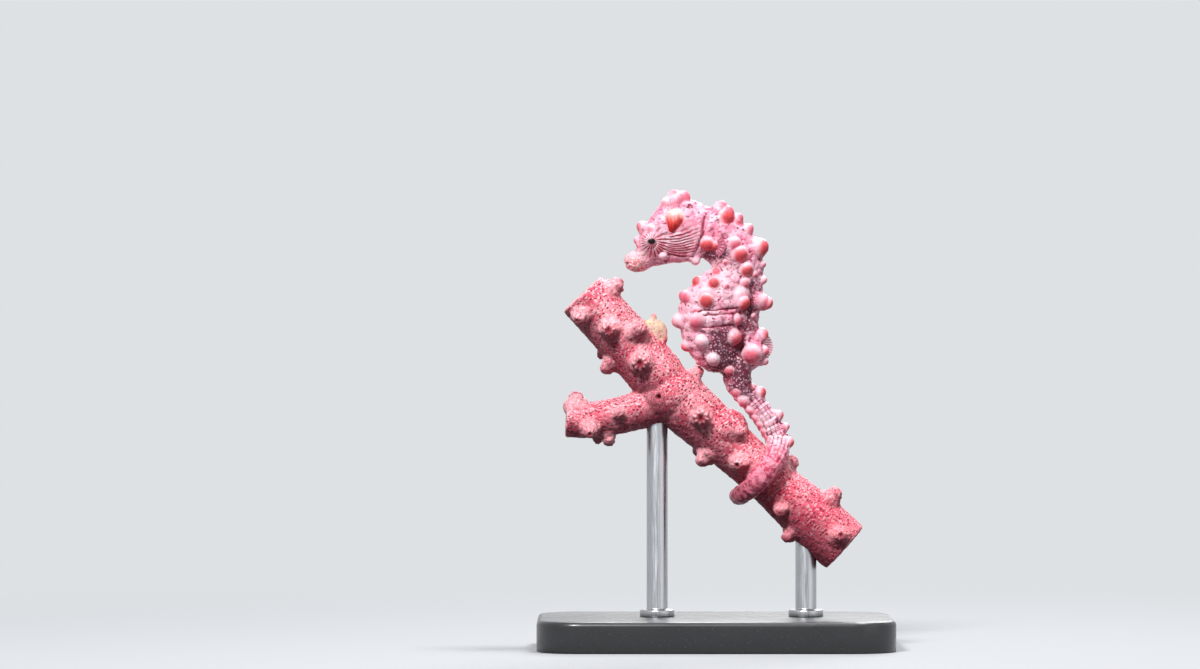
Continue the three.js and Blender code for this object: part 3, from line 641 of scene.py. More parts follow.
# Each station gives the outline above and below, as x and z, and half the width there.
HEAD = (
    (-4.1, 17.52, -4.08, 17.24, 0.17), (-4.0, 17.7, -3.97, 17.08, 0.36), (-3.76, 17.84, -3.7, 16.9, 0.5),
    (-3.52, 17.93, -3.36, 16.87, 0.52), (-3.47, 18.22, -3.05, 17.0, 0.54), (-3.4, 18.62, -2.84, 17.12, 0.6),
    (-3.06, 19.16, -2.62, 17.18, 0.7), (-2.68, 19.72, -2.4, 17.22, 0.78), (-2.26, 20.12, -2.12, 17.26, 0.83),
    (-1.75, 20.27, -1.71, 17.3, 0.85), (-1.2, 20.22, -1.2, 17.34, 0.84), (-0.74, 20.1, -0.82, 17.42, 0.78),
    (-0.4, 19.95, -0.56, 17.62, 0.66),
)
COLUMN = (
    (-0.94, 19.9, -0.94, 17.59, 0.6), (-0.12, 19.86, -0.36, 17.4, 0.74), (0.87, 19.5, -0.12, 17.08, 0.78),
    (1.7, 18.72, 0.02, 16.7, 0.78), (2.14, 17.7, 0.22, 16.2, 0.76), (2.2, 16.8, 0.5, 16.0, 0.7),
    (2.16, 16.02, 0.78, 15.71, 0.64), (2.02, 15.16, 0.86, 15.12, 0.62), (1.96, 14.4, 0.78, 14.31, 0.63),
    (1.98, 13.54, 0.6, 13.41, 0.66), (1.84, 12.82, 0.36, 12.69, 0.66), (1.6, 12.25, 0.34, 12.02, 0.62),
)
# The belly: a height, the outline behind and in front of the middle, and half the width.
BELLY = (
    (17.1, 1.03, -0.14, 0.5), (16.74, 1.42, -0.7, 0.88), (16.29, 1.56, -1.14, 1.09),
    (15.75, 1.5, -1.55, 1.22), (15.03, 1.35, -1.7, 1.28), (14.31, 1.24, -1.6, 1.26),
    (13.63, 1.15, -1.37, 1.18), (13.09, 1.1, -1.05, 1.03), (12.69, 0.98, -0.68, 0.83),
    (12.38, 0.8, -0.24, 0.5),
)
# The swelling that the dorsal fin stands on, and the base of the crown.
SWELLINGS = (((1.76, 0, 13.4), (0.5, 0.66, 0.84)), ((-1.8, 0, 20.0), (0.66, 0.5, 0.45)))
# The tail beside the stem: how far along the stem and off it, how far to the left, and its radius.
TAIL_BESIDE = (
    (-3.0, 2.27, 0.25, 0.57), (-2.36, 2.16, 0.25, 0.53), (-1.68, 2.06, 0.27, 0.52), (-0.98, 1.88, 0.31, 0.53),
)
GRIP = Vector((1.89, BEHIND, 8.03))
GRIP_RADIUS = 1.12
WRAP_FIRST, WRAP_LAST, WRAP_STEPS = 14, 288, 18
WRAP_RADIUS, WRAP_TIP = 0.54, 0.22
# How far the wrap starts along the stem, and each further drift with the turns that it runs between.
WRAP_START = -0.3
WRAP_DRIFTS = ((0.62, -11, 70), (-0.15, 110, 180), (0.35, 200, 288))
WRAP_FLATTENING = 0.9

down_stem = -stem_ahead
off_stem = down_stem.cross(LEFT)
if off_stem.z < 0:
    off_stem.negate()


def outline_ring(above_x, above_z, below_x, below_z, half):
    above, below = Vector((above_x, 0, above_z)), Vector((below_x, 0, below_z))
    return (above + below) / 2, (above - below).normalized(), LEFT, (above - below).length / 2, half


def tail_rings():
    """Rings down the tail: beside the stem, over its front, under it, and up behind it to the tip."""
    rings = []
    for along, off, left, radius in TAIL_BESIDE:
        centre = GRIP + down_stem * along + off_stem * off + LEFT * left
        rings.append((centre, off_stem, LEFT, radius, radius))
    for step in range(WRAP_STEPS + 1):
        turn = WRAP_FIRST + (WRAP_LAST - WRAP_FIRST) * step / WRAP_STEPS
        half = WRAP_RADIUS + (WRAP_TIP - WRAP_RADIUS) * ease(turn, 20, WRAP_LAST + 80)
        depth = half * WRAP_FLATTENING
        drift = WRAP_START + sum(far * ease(turn, first, last) for far, first, last in WRAP_DRIFTS)
        angle = math.radians(turn)
        out = off_stem * math.cos(angle) + LEFT * math.sin(angle)
        centre = GRIP + down_stem * drift + out * (GRIP_RADIUS + depth)
        rings.append((centre, out, down_stem, depth, half))
    before, (end, out, across, depth, half) = rings[-2][0], rings[-1]
    rings.append((end + (end - before).normalized() * half * 0.7, out, across, depth * 0.5, half * 0.5))
    return rings


def squared(rings, start):
    """Rings turned square to the line through their centres, from the given one on."""
    turned_rings = list(rings[:start])
    for number in range(start, len(rings)):
        centre, back, _, depth, half = rings[number]
        ahead = (rings[min(number + 1, len(rings) - 1)][0] - rings[number - 1][0]).normalized()
        back = (back - ahead * back.dot(ahead)).normalized()
        turned_rings.append((centre, back, ahead.cross(back), depth, half))
    return turned_rings


def curve_through(a, b, c, d, share):
    """A smooth curve from b to c that heads on from a and towards d."""
    bend = (a * 2 - b * 5 + c * 4 - d) * (share ** 2 / 2)
    return b + (c - a) * (share / 2) + bend + (b * 3 - a - c * 3 + d) * (share ** 3 / 2)


def ring_at(rings, place):
    """The ring at a place between the listed ones, where 2.5 is halfway between the third and the fourth."""
    first = max(0, min(int(place), len(rings) - 2))
    near = [rings[max(0, min(first + k, len(rings) - 1))] for k in (-1, 0, 1, 2)]
    centre, back, across, depth, half = (curve_through(*values, place - first) for values in zip(*near))
    back.normalize()
    return centre, back, (across - back * across.dot(back)).normalized(), depth, half


def filled_in(rings, steps):
    return [ring_at(rings, number / steps) for number in range((len(rings) - 1) * steps + 1)]


head_rings = [outline_ring(*station) for station in HEAD]
column_rings = squared([outline_ring(*station) for station in COLUMN] + tail_rings(), len(COLUMN))
belly_rings = [
    (Vector(((back + front) / 2, 0, z)), Vector((1, 0, 0)), LEFT, (back - front) / 2, half)
    for z, back, front, half in BELLY]
skin = lofted("skin", [filled_in(rings, 2) for rings in (head_rings, column_rings, belly_rings)], SKIN_SIDES)
swellings = empty_piece("swellings")
for centre, radii in SWELLINGS:
    add_ball(centre, radii)
join_pieces(skin, swellings)
moulded(skin, RIND_GRAIN, 8)

# Tubercles on both flanks: x, z, radius, how far the centre stands off the skin as a share of the radius, and
# how red it is, from 0 for pearl through 0.5 for rose to 1 for coral, or SWELL for a swelling of plain skin.
SWELL, BROW = -1, 2
FLANK_TUBERCLES = (
    (-2.34, 17.61, 0.19, -0.25, 0.0), (-0.89, 17.48, 0.22, 0.3, 0.0), (-0.37, 18.18, 0.32, -0.25, 0.9),
    (-0.25, 18.95, 0.5, -0.85, SWELL), (0.5, 19.42, 0.36, -0.15, 0.85), (-2.92, 18.9, 0.2, -0.45, 0.1),
    (0.88, 18.2, 0.27, 0.0, 0.35), (1.11, 17.73, 0.34, 0.0, 0.75), (1.4, 17.05, 0.28, 0.0, 0.8),
    (1.34, 16.42, 0.22, -0.15, 0.2), (1.16, 15.57, 0.33, 0.35, 0.95), (1.2, 15.82, 0.48, -0.45, 0.08),
    (0.98, 14.77, 0.25, -0.1, 0.25), (0.62, 14.82, 0.24, -0.4, SWELL), (0.25, 14.86, 0.22, -0.5, SWELL),
    (0.84, 13.99, 0.35, 0.0, 0.55), (0.62, 12.5, 0.22, 0.0, 0.5), (-0.4, 15.65, 0.33, 0.12, 0.95),
    (-0.42, 15.88, 0.4, -0.45, 0.15), (-0.83, 14.71, 0.34, 0.05, 0.3), (-0.62, 13.79, 0.29, 0.05, 0.0),
    (-0.1, 13.0, 0.29, 0.1, 0.0), (0.05, 16.93, 0.19, 0.0, 0.6), (-0.08, 16.43, 0.26, 0.05, 0.9),
    (-0.81, 16.5, 0.26, -0.15, 0.95), (1.64, 13.24, 0.4, 0.0, 0.45), (1.72, 14.95, 0.13, -0.1, 0.4),
    (1.78, 16.8, 0.14, -0.1, 0.4), (-1.25, 15.78, 0.26, -0.1, 0.4), (1.08, 19.32, 0.28, -0.55, 0.4),
    (1.5, 18.86, 0.28, -0.5, 0.4), (-1.85, 20.05, 0.28, -0.35, SWELL), (-1.35, 19.95, 0.24, -0.45, SWELL),
    (-0.06, 18.08, 0.22, -0.4, 0.7), (0.1, 19.3, 0.2, -0.6, SWELL), (0.4, 18.7, 0.22, -0.6, SWELL),
    (1.95, 11.9, 0.14, -0.2, 0.4), (0.45, 17.35, 0.12, -0.2, 0.4), (0.5, 16.3, 0.11, -0.2, 0.3),
    (-0.9, 15.2, 0.12, -0.2, 0.4),
)
# Tubercles along the edges of the back and belly: x, z, radius, how far to each side, and how red.
EDGE_TUBERCLES = (
    (-3.29, 18.96, 0.26, 0.08, 0.35), (-3.5, 18.34, 0.18, 0.1, 0.25), (-3.42, 18.12, 0.14, 0.2, 0.45),
    (-1.84, 20.27, 0.36, 0.1, 0.15), (-1.41, 20.27, 0.31, 0.12, 0.35), (-1.6, 20.2, 0.3, 0.32, 0.2),
    (-2.16, 19.98, 0.28, 0.2, 0.1), (0.26, 19.8, 0.34, 0.14, 0.3), (0.56, 19.6, 0.3, 0.3, 0.5),
    (2.0, 18.03, 0.43, 0.24, 0.8), (2.16, 16.55, 0.2, 0.22, 0.2), (2.08, 15.6, 0.38, 0.2, 0.4),
    (2.33, 15.52, 0.3, 0.16, 0.8), (2.14, 14.12, 0.28, 0.18, 0.6), (2.2, 13.36, 0.24, 0.3, 0.5),
    (2.22, 12.9, 0.2, 0.22, 0.5), (-1.38, 15.84, 0.27, 0.3, 0.3), (-1.64, 14.72, 0.33, 0.34, 0.12),
    (-1.27, 13.6, 0.28, 0.3, 0.6), (-0.72, 12.87, 0.17, 0.25, 0.5), (1.04, 19.32, 0.25, 0.2, 0.3),
    (1.5, 18.86, 0.25, 0.2, 0.3), (2.14, 17.25, 0.17, 0.2, 0.4), (2.04, 11.5, 0.27, 0.2, 0.85),
    (2.88, 10.48, 0.23, 0.2, 0.4), (3.2, 9.96, 0.17, 0.2, 0.4), (3.28, 9.26, 0.28, 0.35, 0.95),
)
# The plates down the front edge of the tail: x, z and radius.
TAIL_PLATES = (
    (0.82, 12.03, 0.24), (1.0, 11.54, 0.25), (1.29, 11.13, 0.29), (1.6, 10.7, 0.23), (1.84, 10.37, 0.21),
    (2.04, 10.07, 0.21), (2.22, 9.77, 0.2), (2.42, 9.48, 0.19),
)
PLATE_SPREAD, PLATE_RED = 0.28, 0.2
# The brow spine is a drop with its tip down: x, z and radius of the balls that it is built up from.
BROW_SPINE = ((-1.82, 19.36, 0.38), (-1.85, 19.17, 0.3), (-1.9, 18.99, 0.22), (-1.95, 18.83, 0.14))
BROW_RISE = -0.25
SKIRT_SIZE, SKIRT_SINK = 1.3, 0.62
BALLS_AT_ONCE = 20

flank = BVHTree.FromObject(skin, bpy.context.evaluated_depsgraph_get())


def on_flank(x, z, side):
    """The point of the skin straight in from one side, or the nearest to it, and the way out of it."""
    point, normal, _, _ = flank.ray_cast(Vector((x, 5 * side, z)), Vector((0, -side, 0)))
    if point is None:
        point, normal, _, _ = flank.find_nearest(Vector((x, 0.3 * side, z)))
    return point, normal


def standing_off(side, x, z, radius, rise, red):
    point, out = on_flank(x, z, side)
    return point + out * radius * rise, out, radius, red


def at_edge(side, x, z, radius, spread, red):
    centre = Vector((x, spread * side, z))
    return centre, flank.find_nearest(centre)[1], radius, red


tubercles = []
for side in (-1, 1):
    tubercles += [standing_off(side, *listed) for listed in FLANK_TUBERCLES]
    tubercles += [at_edge(side, *listed) for listed in EDGE_TUBERCLES]
    tubercles += [at_edge(side, x, z, radius, PLATE_SPREAD, PLATE_RED) for x, z, radius in TAIL_PLATES]
    tubercles += [standing_off(side, x, z, radius, BROW_RISE, BROW) for x, z, radius in BROW_SPINE]

# Every tubercle but the brow spine stands on a wider skirt, sunk into the skin.
balls = [(centre, radius) for centre, _, radius, _ in tubercles]
for centre, out, radius, red in tubercles:
    if red != BROW:
        balls.append((centre - out * radius * SKIRT_SINK, radius * SKIRT_SIZE))
for start in range(0, len(balls), BALLS_AT_ONCE):
    knobs = empty_piece("knobs")
    for centre, radius in balls[start:start + BALLS_AT_ONCE]:
        add_ball(centre, (radius, radius, radius), segments=16, rings=10)
    join_pieces(skin, knobs)
moulded(skin, SKIN_GRAIN, 6)

# Relief cut into the skin: the eye's seat and lids, the gill cover and its groove, the folds that fan out
# from the pupil, the mouth, the body rings and the squares of the tail.
EYE_CENTRE, EYE_RADII = Vector((-2.86, 0.44, 18.25)), (0.46, 0.42, 0.46)
PUPIL = (-2.86, 18.28)
GILL_EDGE = ((-0.42, 19.5), (-0.5, 19.1), (-0.57, 18.6), (-0.75, 18.1), (-1.0, 17.6))
JAW_FOLD = ((-1.0, 17.6), (-1.6, 17.58), (-2.15, 17.68), (-2.6, 17.6))
BACK_GROOVE = ((1.66, 16.35), (1.56, 15.3), (1.5, 14.6), (1.3, 14.05), (0.95, 12.9))
BODY_RING = 0.42
TAIL_RING, TAIL_LINE = 0.36, 0.18
TAIL_ROWS = 14
# Creases round the belly: a height and a depth.
CREASES = ((15.2, 0.06), (14.98, 0.04), (14.45, 0.06))
# How high the eye's seat and the gill's rim stand, and how deep the rest is cut.
SEAT_HEIGHT, SOCKET_DEPTH, GILL_RELIEF = 0.08, 0.25, 0.06
GROOVE_DEPTH, JAW_DEPTH, MOUTH_DEPTH = 0.13, 0.05, 0.07
TAIL_RING_DEPTH, TAIL_ROW_DEPTH, BODY_RING_DEPTH = 0.024, 0.018, 0.016
WRINKLE_DEPTH, CRACKLE_DEPTH, CRACKLE_SEED = 0.035, 0.022, 5
STEPS_PER_RING, TAIL_FROM_RING = 12, 11


def from_line(x, z, line):
    """How far each point lies from a bent line, above zero on its left."""
    nearest, signed = np.full(len(x), 99.0), np.zeros(len(x))
    for (ax, az), (bx, bz) in zip(line, line[1:]):
        length = math.hypot(bx - ax, bz - az)
        share = np.clip(((x - ax) * (bx - ax) + (z - az) * (bz - az)) / length ** 2, 0, 1)
        gap = np.hypot(x - ax - share * (bx - ax), z - az - share * (bz - az))
        side = np.sign((bx - ax) * (z - az) - (bz - az) * (x - ax))
        closer = gap < nearest
        nearest[closer], signed[closer] = gap[closer], (gap * side)[closer]
    return signed


points, normals = points_and_normals(skin)
x, y, z = points.T
on_head = ease(x, -0.35, -0.6) * ease(z, 16.6, 16.8)
flat_side = ease(np.abs(normals[:, 1]), 0.15, 0.5)

# Each vertex keeps how far it is on a tubercle, how far it faces the underside, red partly in its own colour
# and partly in painted shade, and how red that is.
wart, spot, brow_share = np.zeros((3, len(points)))
redness = np.full(len(points), 0.4)
for centre, out, radius, red in tubercles:
    if red == SWELL:
        continue
    away = (points - np.array(centre)) / radius
    share = ease(np.linalg.norm(away, axis=1), 1.35, 0.95)
    low = np.array((out * 0.7 + Vector((0.12, 0, -0.42))).normalized())
    face = ease((away * low).sum(1), -0.3, 0.95)
    stronger = share > wart
    wart[stronger], redness[stronger] = share[stronger], min(red, 1)
    spot[stronger] = face[stronger] + max(red - 1, 0)
    if red == BROW:
        brow_share = np.maximum(brow_share, share)
on_brow = (brow_share > 0.02) & (brow_share >= wart)
spot = np.where(on_brow, ease(z, 19.72, 18.75), spot)
bare = 1 - wart

# The eye's seat stands proud round a socket, and the folds of the cheek run from it to the gill's edge.
eye_gap = np.hypot(x - EYE_CENTRE.x, z - EYE_CENTRE.z)
pupil_gap = np.hypot(x - PUPIL[0], z - PUPIL[1])
pupil_turn = np.arctan2(z - PUPIL[1], x - PUPIL[0])
sway = np.array([noise.noise(point * 1.6) + 0.5 * noise.noise(point * 4.1) for point in map(Vector, points)])
gill, jaw = from_line(x, z, GILL_EDGE), from_line(x, z, JAW_FOLD)
near_head = ease(x, 0.1, -0.1) * flat_side
sector = ease(pupil_turn, -1.1, -0.85) * ease(pupil_turn + 0.12 * sway, 0.5, 0.26)
cheek = sector * ease(gill + 0.3 * sway, 0.0, -0.35) * flat_side * on_head * (1 - brow_share)
cheek *= ease(jaw, 0.1, -0.02)
round_eye = 0.3 + 0.7 * ease(pupil_turn, -2.9, -2.2) * ease(pupil_turn, 1.6, 1.0)
streaks = ease(pupil_gap, 0.95, 0.6) * on_head * round_eye

height = SEAT_HEIGHT * ease(eye_gap, 0.66, 0.3) - SOCKET_DEPTH * ease(eye_gap, 0.27, 0.18)
height *= (np.abs(y) > 0.3) * bare
gill_cut = bell(gill + 0.06 * sway, 0, 0.055) * near_head * ease(z, 17.6, 17.9) * ease(z, 19.6, 19.4)
gill_rim = bell(gill, -0.15, 0.1) * near_head * ease(z, 19.6, 19.4)
height += GILL_RELIEF * (gill_rim - gill_cut) * bare
groove = bell(from_line(x, z, BACK_GROOVE), 0, 0.17) * (np.abs(y) > 0.2)
groove *= ease(z, 12.9, 13.6) * ease(z, 16.5, 16.2)
height -= GROOVE_DEPTH * groove * bare
height -= JAW_DEPTH * bell(jaw, 0, 0.05) * on_head * flat_side * bare * ease(x, -2.55, -2.3)
mouth_line = 17.27 + 0.12 * (x + 4.0)
height -= MOUTH_DEPTH * bell(z, mouth_line, 0.045) * ease(x, -3.82, -3.95)

# How far each vertex lies along the body and round it, from the nearest ring down its middle.
trail = filled_in(column_rings, STEPS_PER_RING)
run = [0.0]
for before, after in zip(trail, trail[1:]):
    run.append(run[-1] + (after[0] - before[0]).length)
tree = KDTree(len(trail))
for number, ring in enumerate(trail):
    tree.insert(ring[0], number)
tree.balance()
place = np.array([tree.find(point)[1] for point in points])
centres, backs, acrosses = (np.array([ring[part] for ring in trail]) for part in range(3))
aheads = np.cross(backs, acrosses)
offset = points - centres[place]
forward = np.sign((np.gradient(centres, axis=0) * aheads).sum(1))[place]
along = np.array(run)[place] + (offset * aheads[place]).sum(1) * forward
around = np.arctan2((offset * acrosses[place]).sum(1), (offset * backs[place]).sum(1))
tail_start = run[TAIL_FROM_RING * STEPS_PER_RING]
wrap_start = run[(len(COLUMN) + len(TAIL_BESIDE)) * STEPS_PER_RING]
on_tail = ease(along, tail_start - 0.3, tail_start + 0.5) * ease(z, 12.9, 12.3)
wrap = np.clip((along - wrap_start) / (run[-1] - wrap_start), 0, 1)
above_wrap = on_tail * ease(wrap, 0.3, 0.1)

ring_wave = np.cos(2 * math.pi * along / TAIL_RING) * on_tail * (0.4 + 0.6 * above_wrap)
row_wave = np.cos(TAIL_ROWS * around) * above_wrap
belly_wave = np.cos(2 * math.pi * (z + 0.12 * x + 0.05 * sway) / BODY_RING)
belly_wave *= ease(z, 12.6, 13.1) * ease(z, 16.9, 16.3)
height += TAIL_RING_DEPTH * ring_wave * bare
height += (TAIL_ROW_DEPTH * row_wave + BODY_RING_DEPTH * belly_wave) * bare
crease_shade = np.zeros(len(points))
for crease_z, depth in CREASES:
    crease = bell(z - 0.06 * x + 0.06 * sway, crease_z, 0.05) * flat_side * bare
    crease *= ease(x, -1.4, -0.8) * ease(x, 1.35, 1.1)
    height -= depth * crease
    crease_shade = np.maximum(crease_shade, crease)

# Wrinkles all over, and a crackle of fine grooves on the bare skin away from the cheek and the tail. The seed
# keeps the crackle's wandering the same each time. Without one it would follow the clock.
noise.seed_set(CRACKLE_SEED)
wrinkle, crackle = np.zeros((2, len(points)))
for number, point in enumerate(map(Vector, points)):
    wrinkle[number] = noise.noise(point * 3.4) + 0.6 * noise.noise(point * 8.0)
    drawn_out = Vector((point.x * 2.6, point.y * 2.6, point.z * 3.8))
    nearest, next_nearest = noise.voronoi(drawn_out + noise.noise_vector(point * 2.5) * 0.5)[0][:2]
    crackle[number] = next_nearest - nearest
plain = (1 - np.maximum(cheek, ease(eye_gap, 0.62, 0.5))) * (1 - on_tail) * bare
height += WRINKLE_DEPTH * wrinkle * (0.35 + 0.65 * bare) * ease(eye_gap, 0.5, 0.62)
height -= CRACKLE_DEPTH * ease(crackle, 0.13, 0.0) * plain * ease(x, -3.3, -2.9)
carve(skin, points + normals * height[:, None])

# Where the skin is dusky, partly its own darker tone and partly painted shade below the head and down the
# body:
# x, z, how far it spreads, and how strong it is. It is palest down the breast and on the tail above the stem.
DUSK_AND_SHADE = (
    (-0.3, 17.65, 0.4, 0.8), (0.3, 17.8, 0.5, 0.55), (0.9, 17.3, 0.4, 0.4), (1.72, 16.3, 0.3, 0.8),
    (1.6, 15.3, 0.33, 0.9), (1.5, 14.5, 0.36, 1.0), (1.0, 13.5, 0.45, 1.0), (0.75, 12.9, 0.45, 1.0),
    (0.1, 14.15, 0.75, 0.5), (0.35, 13.5, 0.7, 0.75), (0.0, 12.75, 0.6, 0.65), (1.0, 12.3, 0.65, 1.0),
    (1.3, 11.7, 0.5, 0.8), (1.6, 11.1, 0.5, 0.3), (-3.0, 17.85, 0.42, 0.55), (-2.3, 17.35, 0.35, 0.4),
    (-1.5, 17.4, 0.4, 0.4), (-3.3, 17.15, 0.4, 0.3), (1.4, 18.9, 0.3, 0.15),
)
BREAST_LINE = ((-0.8, 14.8), (-0.3, 16.0), (0.6, 16.9))
PALE_TAIL_LINE = ((2.2, 10.3), (2.7, 9.4))
pale = np.maximum(bell(from_line(x, z, BREAST_LINE), 0, 0.7), bell(from_line(x, z, PALE_TAIL_LINE), 0, 0.4))
light = np.ones(len(points))
for dusk_x, dusk_z, size, strength in DUSK_AND_SHADE:
    light *= 1 - strength * np.exp(-((x - dusk_x) ** 2 + (z - dusk_z) ** 2) / size ** 2)
for name, values in {
        "wart": wart, "spot": spot, "brow": brow_share * on_brow,
        "crackle": ease(crackle, 0.11, 0.0) * plain * (1 - 0.75 * ease(x, -0.3, -0.6)),
        "groove": groove, "crease": crease_shade, "flecked": bare * (1 - 0.75 * on_tail),
        "hollow_wide": np.clip(hollows(skin, 45) / 0.16, -1, 1), "redness": redness, "dusk": 1 - light,
        "pale": pale, "cheek": np.maximum(cheek, streaks * 0.8) * bare,
        "hollow": np.clip(hollows(skin, 10) / 0.05, -1, 1), "tail": above_wrap * bare, "along": along,
        "around": np.cos(TAIL_ROWS * around), "wrap": wrap,
        "snout": ease(x, -2.8, -3.4) * ease(z, 18.0, 17.7), "height": z - 17}.items():
    note(skin, name, values)

# The cheek's folds: how many, how soon they bend level, how much they sway, and how far they sag on the way.
FOLDS = 40
FAN_BEND = 0.8
FAN_SWAY = 4.5
FAN_SAG, FAN_RUN = 0.24, 2.2


def fan_lines(finish):
    """Lines that fan out from the pupil and bend level towards the gill, twice as many further out."""
    run = finish.node("ShaderNodeSeparateXYZ", {0: finish.place}) * 1000 - PUPIL[0]
    rise = finish.node("ShaderNodeSeparateXYZ", {0: finish.place}, 2) * 1000 - PUPIL[1]
    halfway = finish.maths("DIVIDE", run, FAN_RUN, clamp=True) * math.pi
    sagging = finish.maths("SINE", halfway) * FAN_SAG + rise
    fall = finish.maths("EXPONENT", finish.maths("ABSOLUTE", run) / -FAN_BEND)
    bent = finish.maths("SIGN", run) * (fall * -FAN_BEND + FAN_BEND)
    gap = finish.maths("SQRT", run * run + rise * rise)
    sway = finish.noise(0.7, detail=2) * finish.ramp(gap, 0.2, 1.0, 0.2 * FAN_SWAY, FAN_SWAY)
    turn = finish.maths("ARCTAN2", sagging, bent) * (FOLDS / 2) + sway
    near, far = finish.maths("COSINE", turn), finish.maths("COSINE", turn * 2.0)
    share = finish.ramp(gap, 0.55, 1.0)
    rough = finish.noise(0.16, detail=3) * 0.9 - 0.45
    return finish.ramp(far * share + near * (1.0 - share) + rough, -0.1, 0.65), run, rise


hide = Finish("seahorse_skin")
skin_height, dusk, hollow = hide.attribute("height"), hide.attribute("dusk"), hide.attribute("hollow")
cloud = hide.noise(0.3, detail=4, rough=0.7)
# The dusky patches, broken up by cloud: partly the skin's own darker tone and partly painted shade.
dark = hide.ramp(dusk + (cloud * 0.9 - 0.45), 0.2, 0.7)
# Painted shade in the groove down the back.
dark = hide.highest(dark, hide.attribute("groove") * 0.9)
granule = hide.ramp(hide.cells(0.12, wander=0.9), 0.44, 0.28) * hide.ramp(dark, 0.25, 0.6, 0, 0.85)
granule *= hide.ramp(hide.noise(0.6), 0.36, 0.54, 0.45, 1)
flecks = hide.ramp(hide.noise(0.15, detail=1, stretch=(0.7, 0.7, 1)), 0.59, 0.65) * hide.attribute("flecked")
flecks *= hide.ramp(hide.noise(0.8), 0.4, 0.56, 0.15, 0.85)
crackle = hide.attribute("crackle") * hide.ramp(hide.noise(0.5), 0.4, 0.6, 0.1, 0.8)

# The tail's net: dark lines between its rings and between its rows, worn away here and there.
net = hide.noise(0.22, detail=2) * 1.6 - 0.8
tail_wave = hide.maths("COSINE", hide.attribute("along") * (2 * math.pi / TAIL_LINE))
squares = hide.highest(
    hide.ramp(tail_wave + net, 0.5, 1.1), hide.ramp(hide.attribute("around") - net, -0.45, -1.05))
squares *= hide.attribute("tail") * hide.ramp(hide.noise(0.3), 0.35, 0.6, 0.5, 1)
wrap = hide.attribute("wrap")
patch = hide.ramp(hide.noise(0.26, detail=4, rough=0.7), 0.42, 0.6)

cheek = hide.attribute("cheek")
lines = fan_lines(hide)[0]
bands = hide.mix(hide.ramp(hide.noise(0.35), 0.4, 0.6), tint(255, 214, 228), tint(255, 158, 180))
# Low on the cheek the bands deepen to red, painted shade.
bands = hide.mix(hide.ramp(skin_height, 1.35, 0.6, 0, 0.6), bands, tint(222, 90, 112))

snout = hide.attribute("snout")
grain = hide.ramp(hide.noise(0.1, detail=1), 0.46, 0.56)
# The snout is pale on top and coral below, partly its own colour and partly painted light: a painted
# highlight on top and painted shade underneath.
low_snout = hide.ramp(skin_height, 0.85, 0.25)
snout_colour = hide.mix(low_snout, tint(255, 212, 222), tint(240, 122, 134))
snout_colour = hide.mix(grain * hide.ramp(low_snout, 0, 1, 0.45, 0.9), snout_colour, tint(255, 222, 220))

# Tubercles: pale on top, rose or coral below, and deeper under that, partly their own colour and partly
# painted light, a painted highlight on top and painted shade underneath. The whitest are pearl nearly all
# over. The brow spine runs the same way, from a pale top to a dark red tip.
spot, red = hide.attribute("spot"), hide.attribute("redness")
flame = spot + (hide.noise(0.25, detail=4, rough=0.7, stretch=(1, 1, 0.5)) * 0.7 - 0.35)
how_coral = hide.ramp(red, 0.3, 0.9)
coral = hide.mix(how_coral, tint(250, 136, 156), tint(246, 88, 88))
deep = hide.mix(how_coral, tint(218, 66, 100), tint(196, 18, 34))
tubercle = hide.mix(hide.ramp(flame, 0.15, 0.95), tint(254, 198, 211), coral)
tubercle = hide.mix(hide.ramp(flame, 0.65, 1.25), tubercle, deep)
pearl = hide.ramp(red, 0.0, 0.3, 0.8, 0.0) * hide.ramp(flame, 0.55, 1.15, 1.0, 0.4)
tubercle = hide.mix(pearl, tubercle, tint(255, 230, 240))
burning = spot + (hide.noise(0.13, detail=2, stretch=(1, 1, 0.2)) * 0.8 - 0.4)
brow = hide.mix(hide.ramp(burning, 0.05, 0.6), tint(252, 200, 194), tint(242, 88, 82))
brow = hide.mix(hide.ramp(burning, 0.5, 1.05), brow, tint(184, 14, 28))

mottle = hide.ramp(hide.noise(0.5, detail=4, rough=0.65), 0.4, 0.62)
colour = hide.mix(mottle, tint(254, 194, 213), tint(248, 146, 174))
for share, laid_over in (
        # Painted shade in the wide hollows.
        (hide.ramp(hide.attribute("hollow_wide"), 0.0, 0.7, 0, 0.85), tint(206, 62, 100)),
        (hide.attribute("pale") * 0.6, tint(255, 224, 233)),
        (dark * 0.92, tint(88, 20, 48)),
        (granule, tint(252, 204, 220)),
        (flecks, tint(116, 20, 50)),
        (crackle, tint(160, 40, 72)),
        # Painted shade in the belly's creases.
        (hide.ramp(hide.attribute("crease"), 0.3, 0.9, 0, 0.85), tint(150, 26, 58)),
        (squares, tint(112, 18, 50)),
        # The tail's wrap is mottled pink and maroon; it darkens further round, as it curls under and behind
        # the stem, which is painted shade.
        (hide.ramp(wrap, 0.03, 0.2, 0, 0.92), hide.mix(patch, tint(250, 150, 172), tint(192, 44, 82))),
        (hide.ramp(wrap, 0.25, 0.5, 0, 0.85), hide.mix(patch, tint(190, 84, 106), tint(110, 26, 46))),
        (cheek * 0.95, bands),
        (lines * cheek * 0.95, tint(150, 6, 36)),
        (snout * 0.9, snout_colour),
        (hide.ramp(hide.attribute("wart"), 0.1, 0.95, 0, 0.92), tubercle),
        (hide.ramp(hide.attribute("brow"), 0.2, 0.9), brow),
        # Painted shade in the hollows, and a painted highlight where the skin stands out.
        (hide.ramp(hollow, 0.06, 0.7, 0, 0.85), tint(128, 22, 54)),
        (hide.ramp(hollow, -0.2, -0.9, 0, 0.35), tint(255, 220, 228))):
    colour = hide.mix(share, colour, laid_over)
hide.set(Base_Color=colour, Roughness=0.42, Coat_Weight=0.16, Coat_Roughness=0.2, Specular_IOR_Level=0.2)
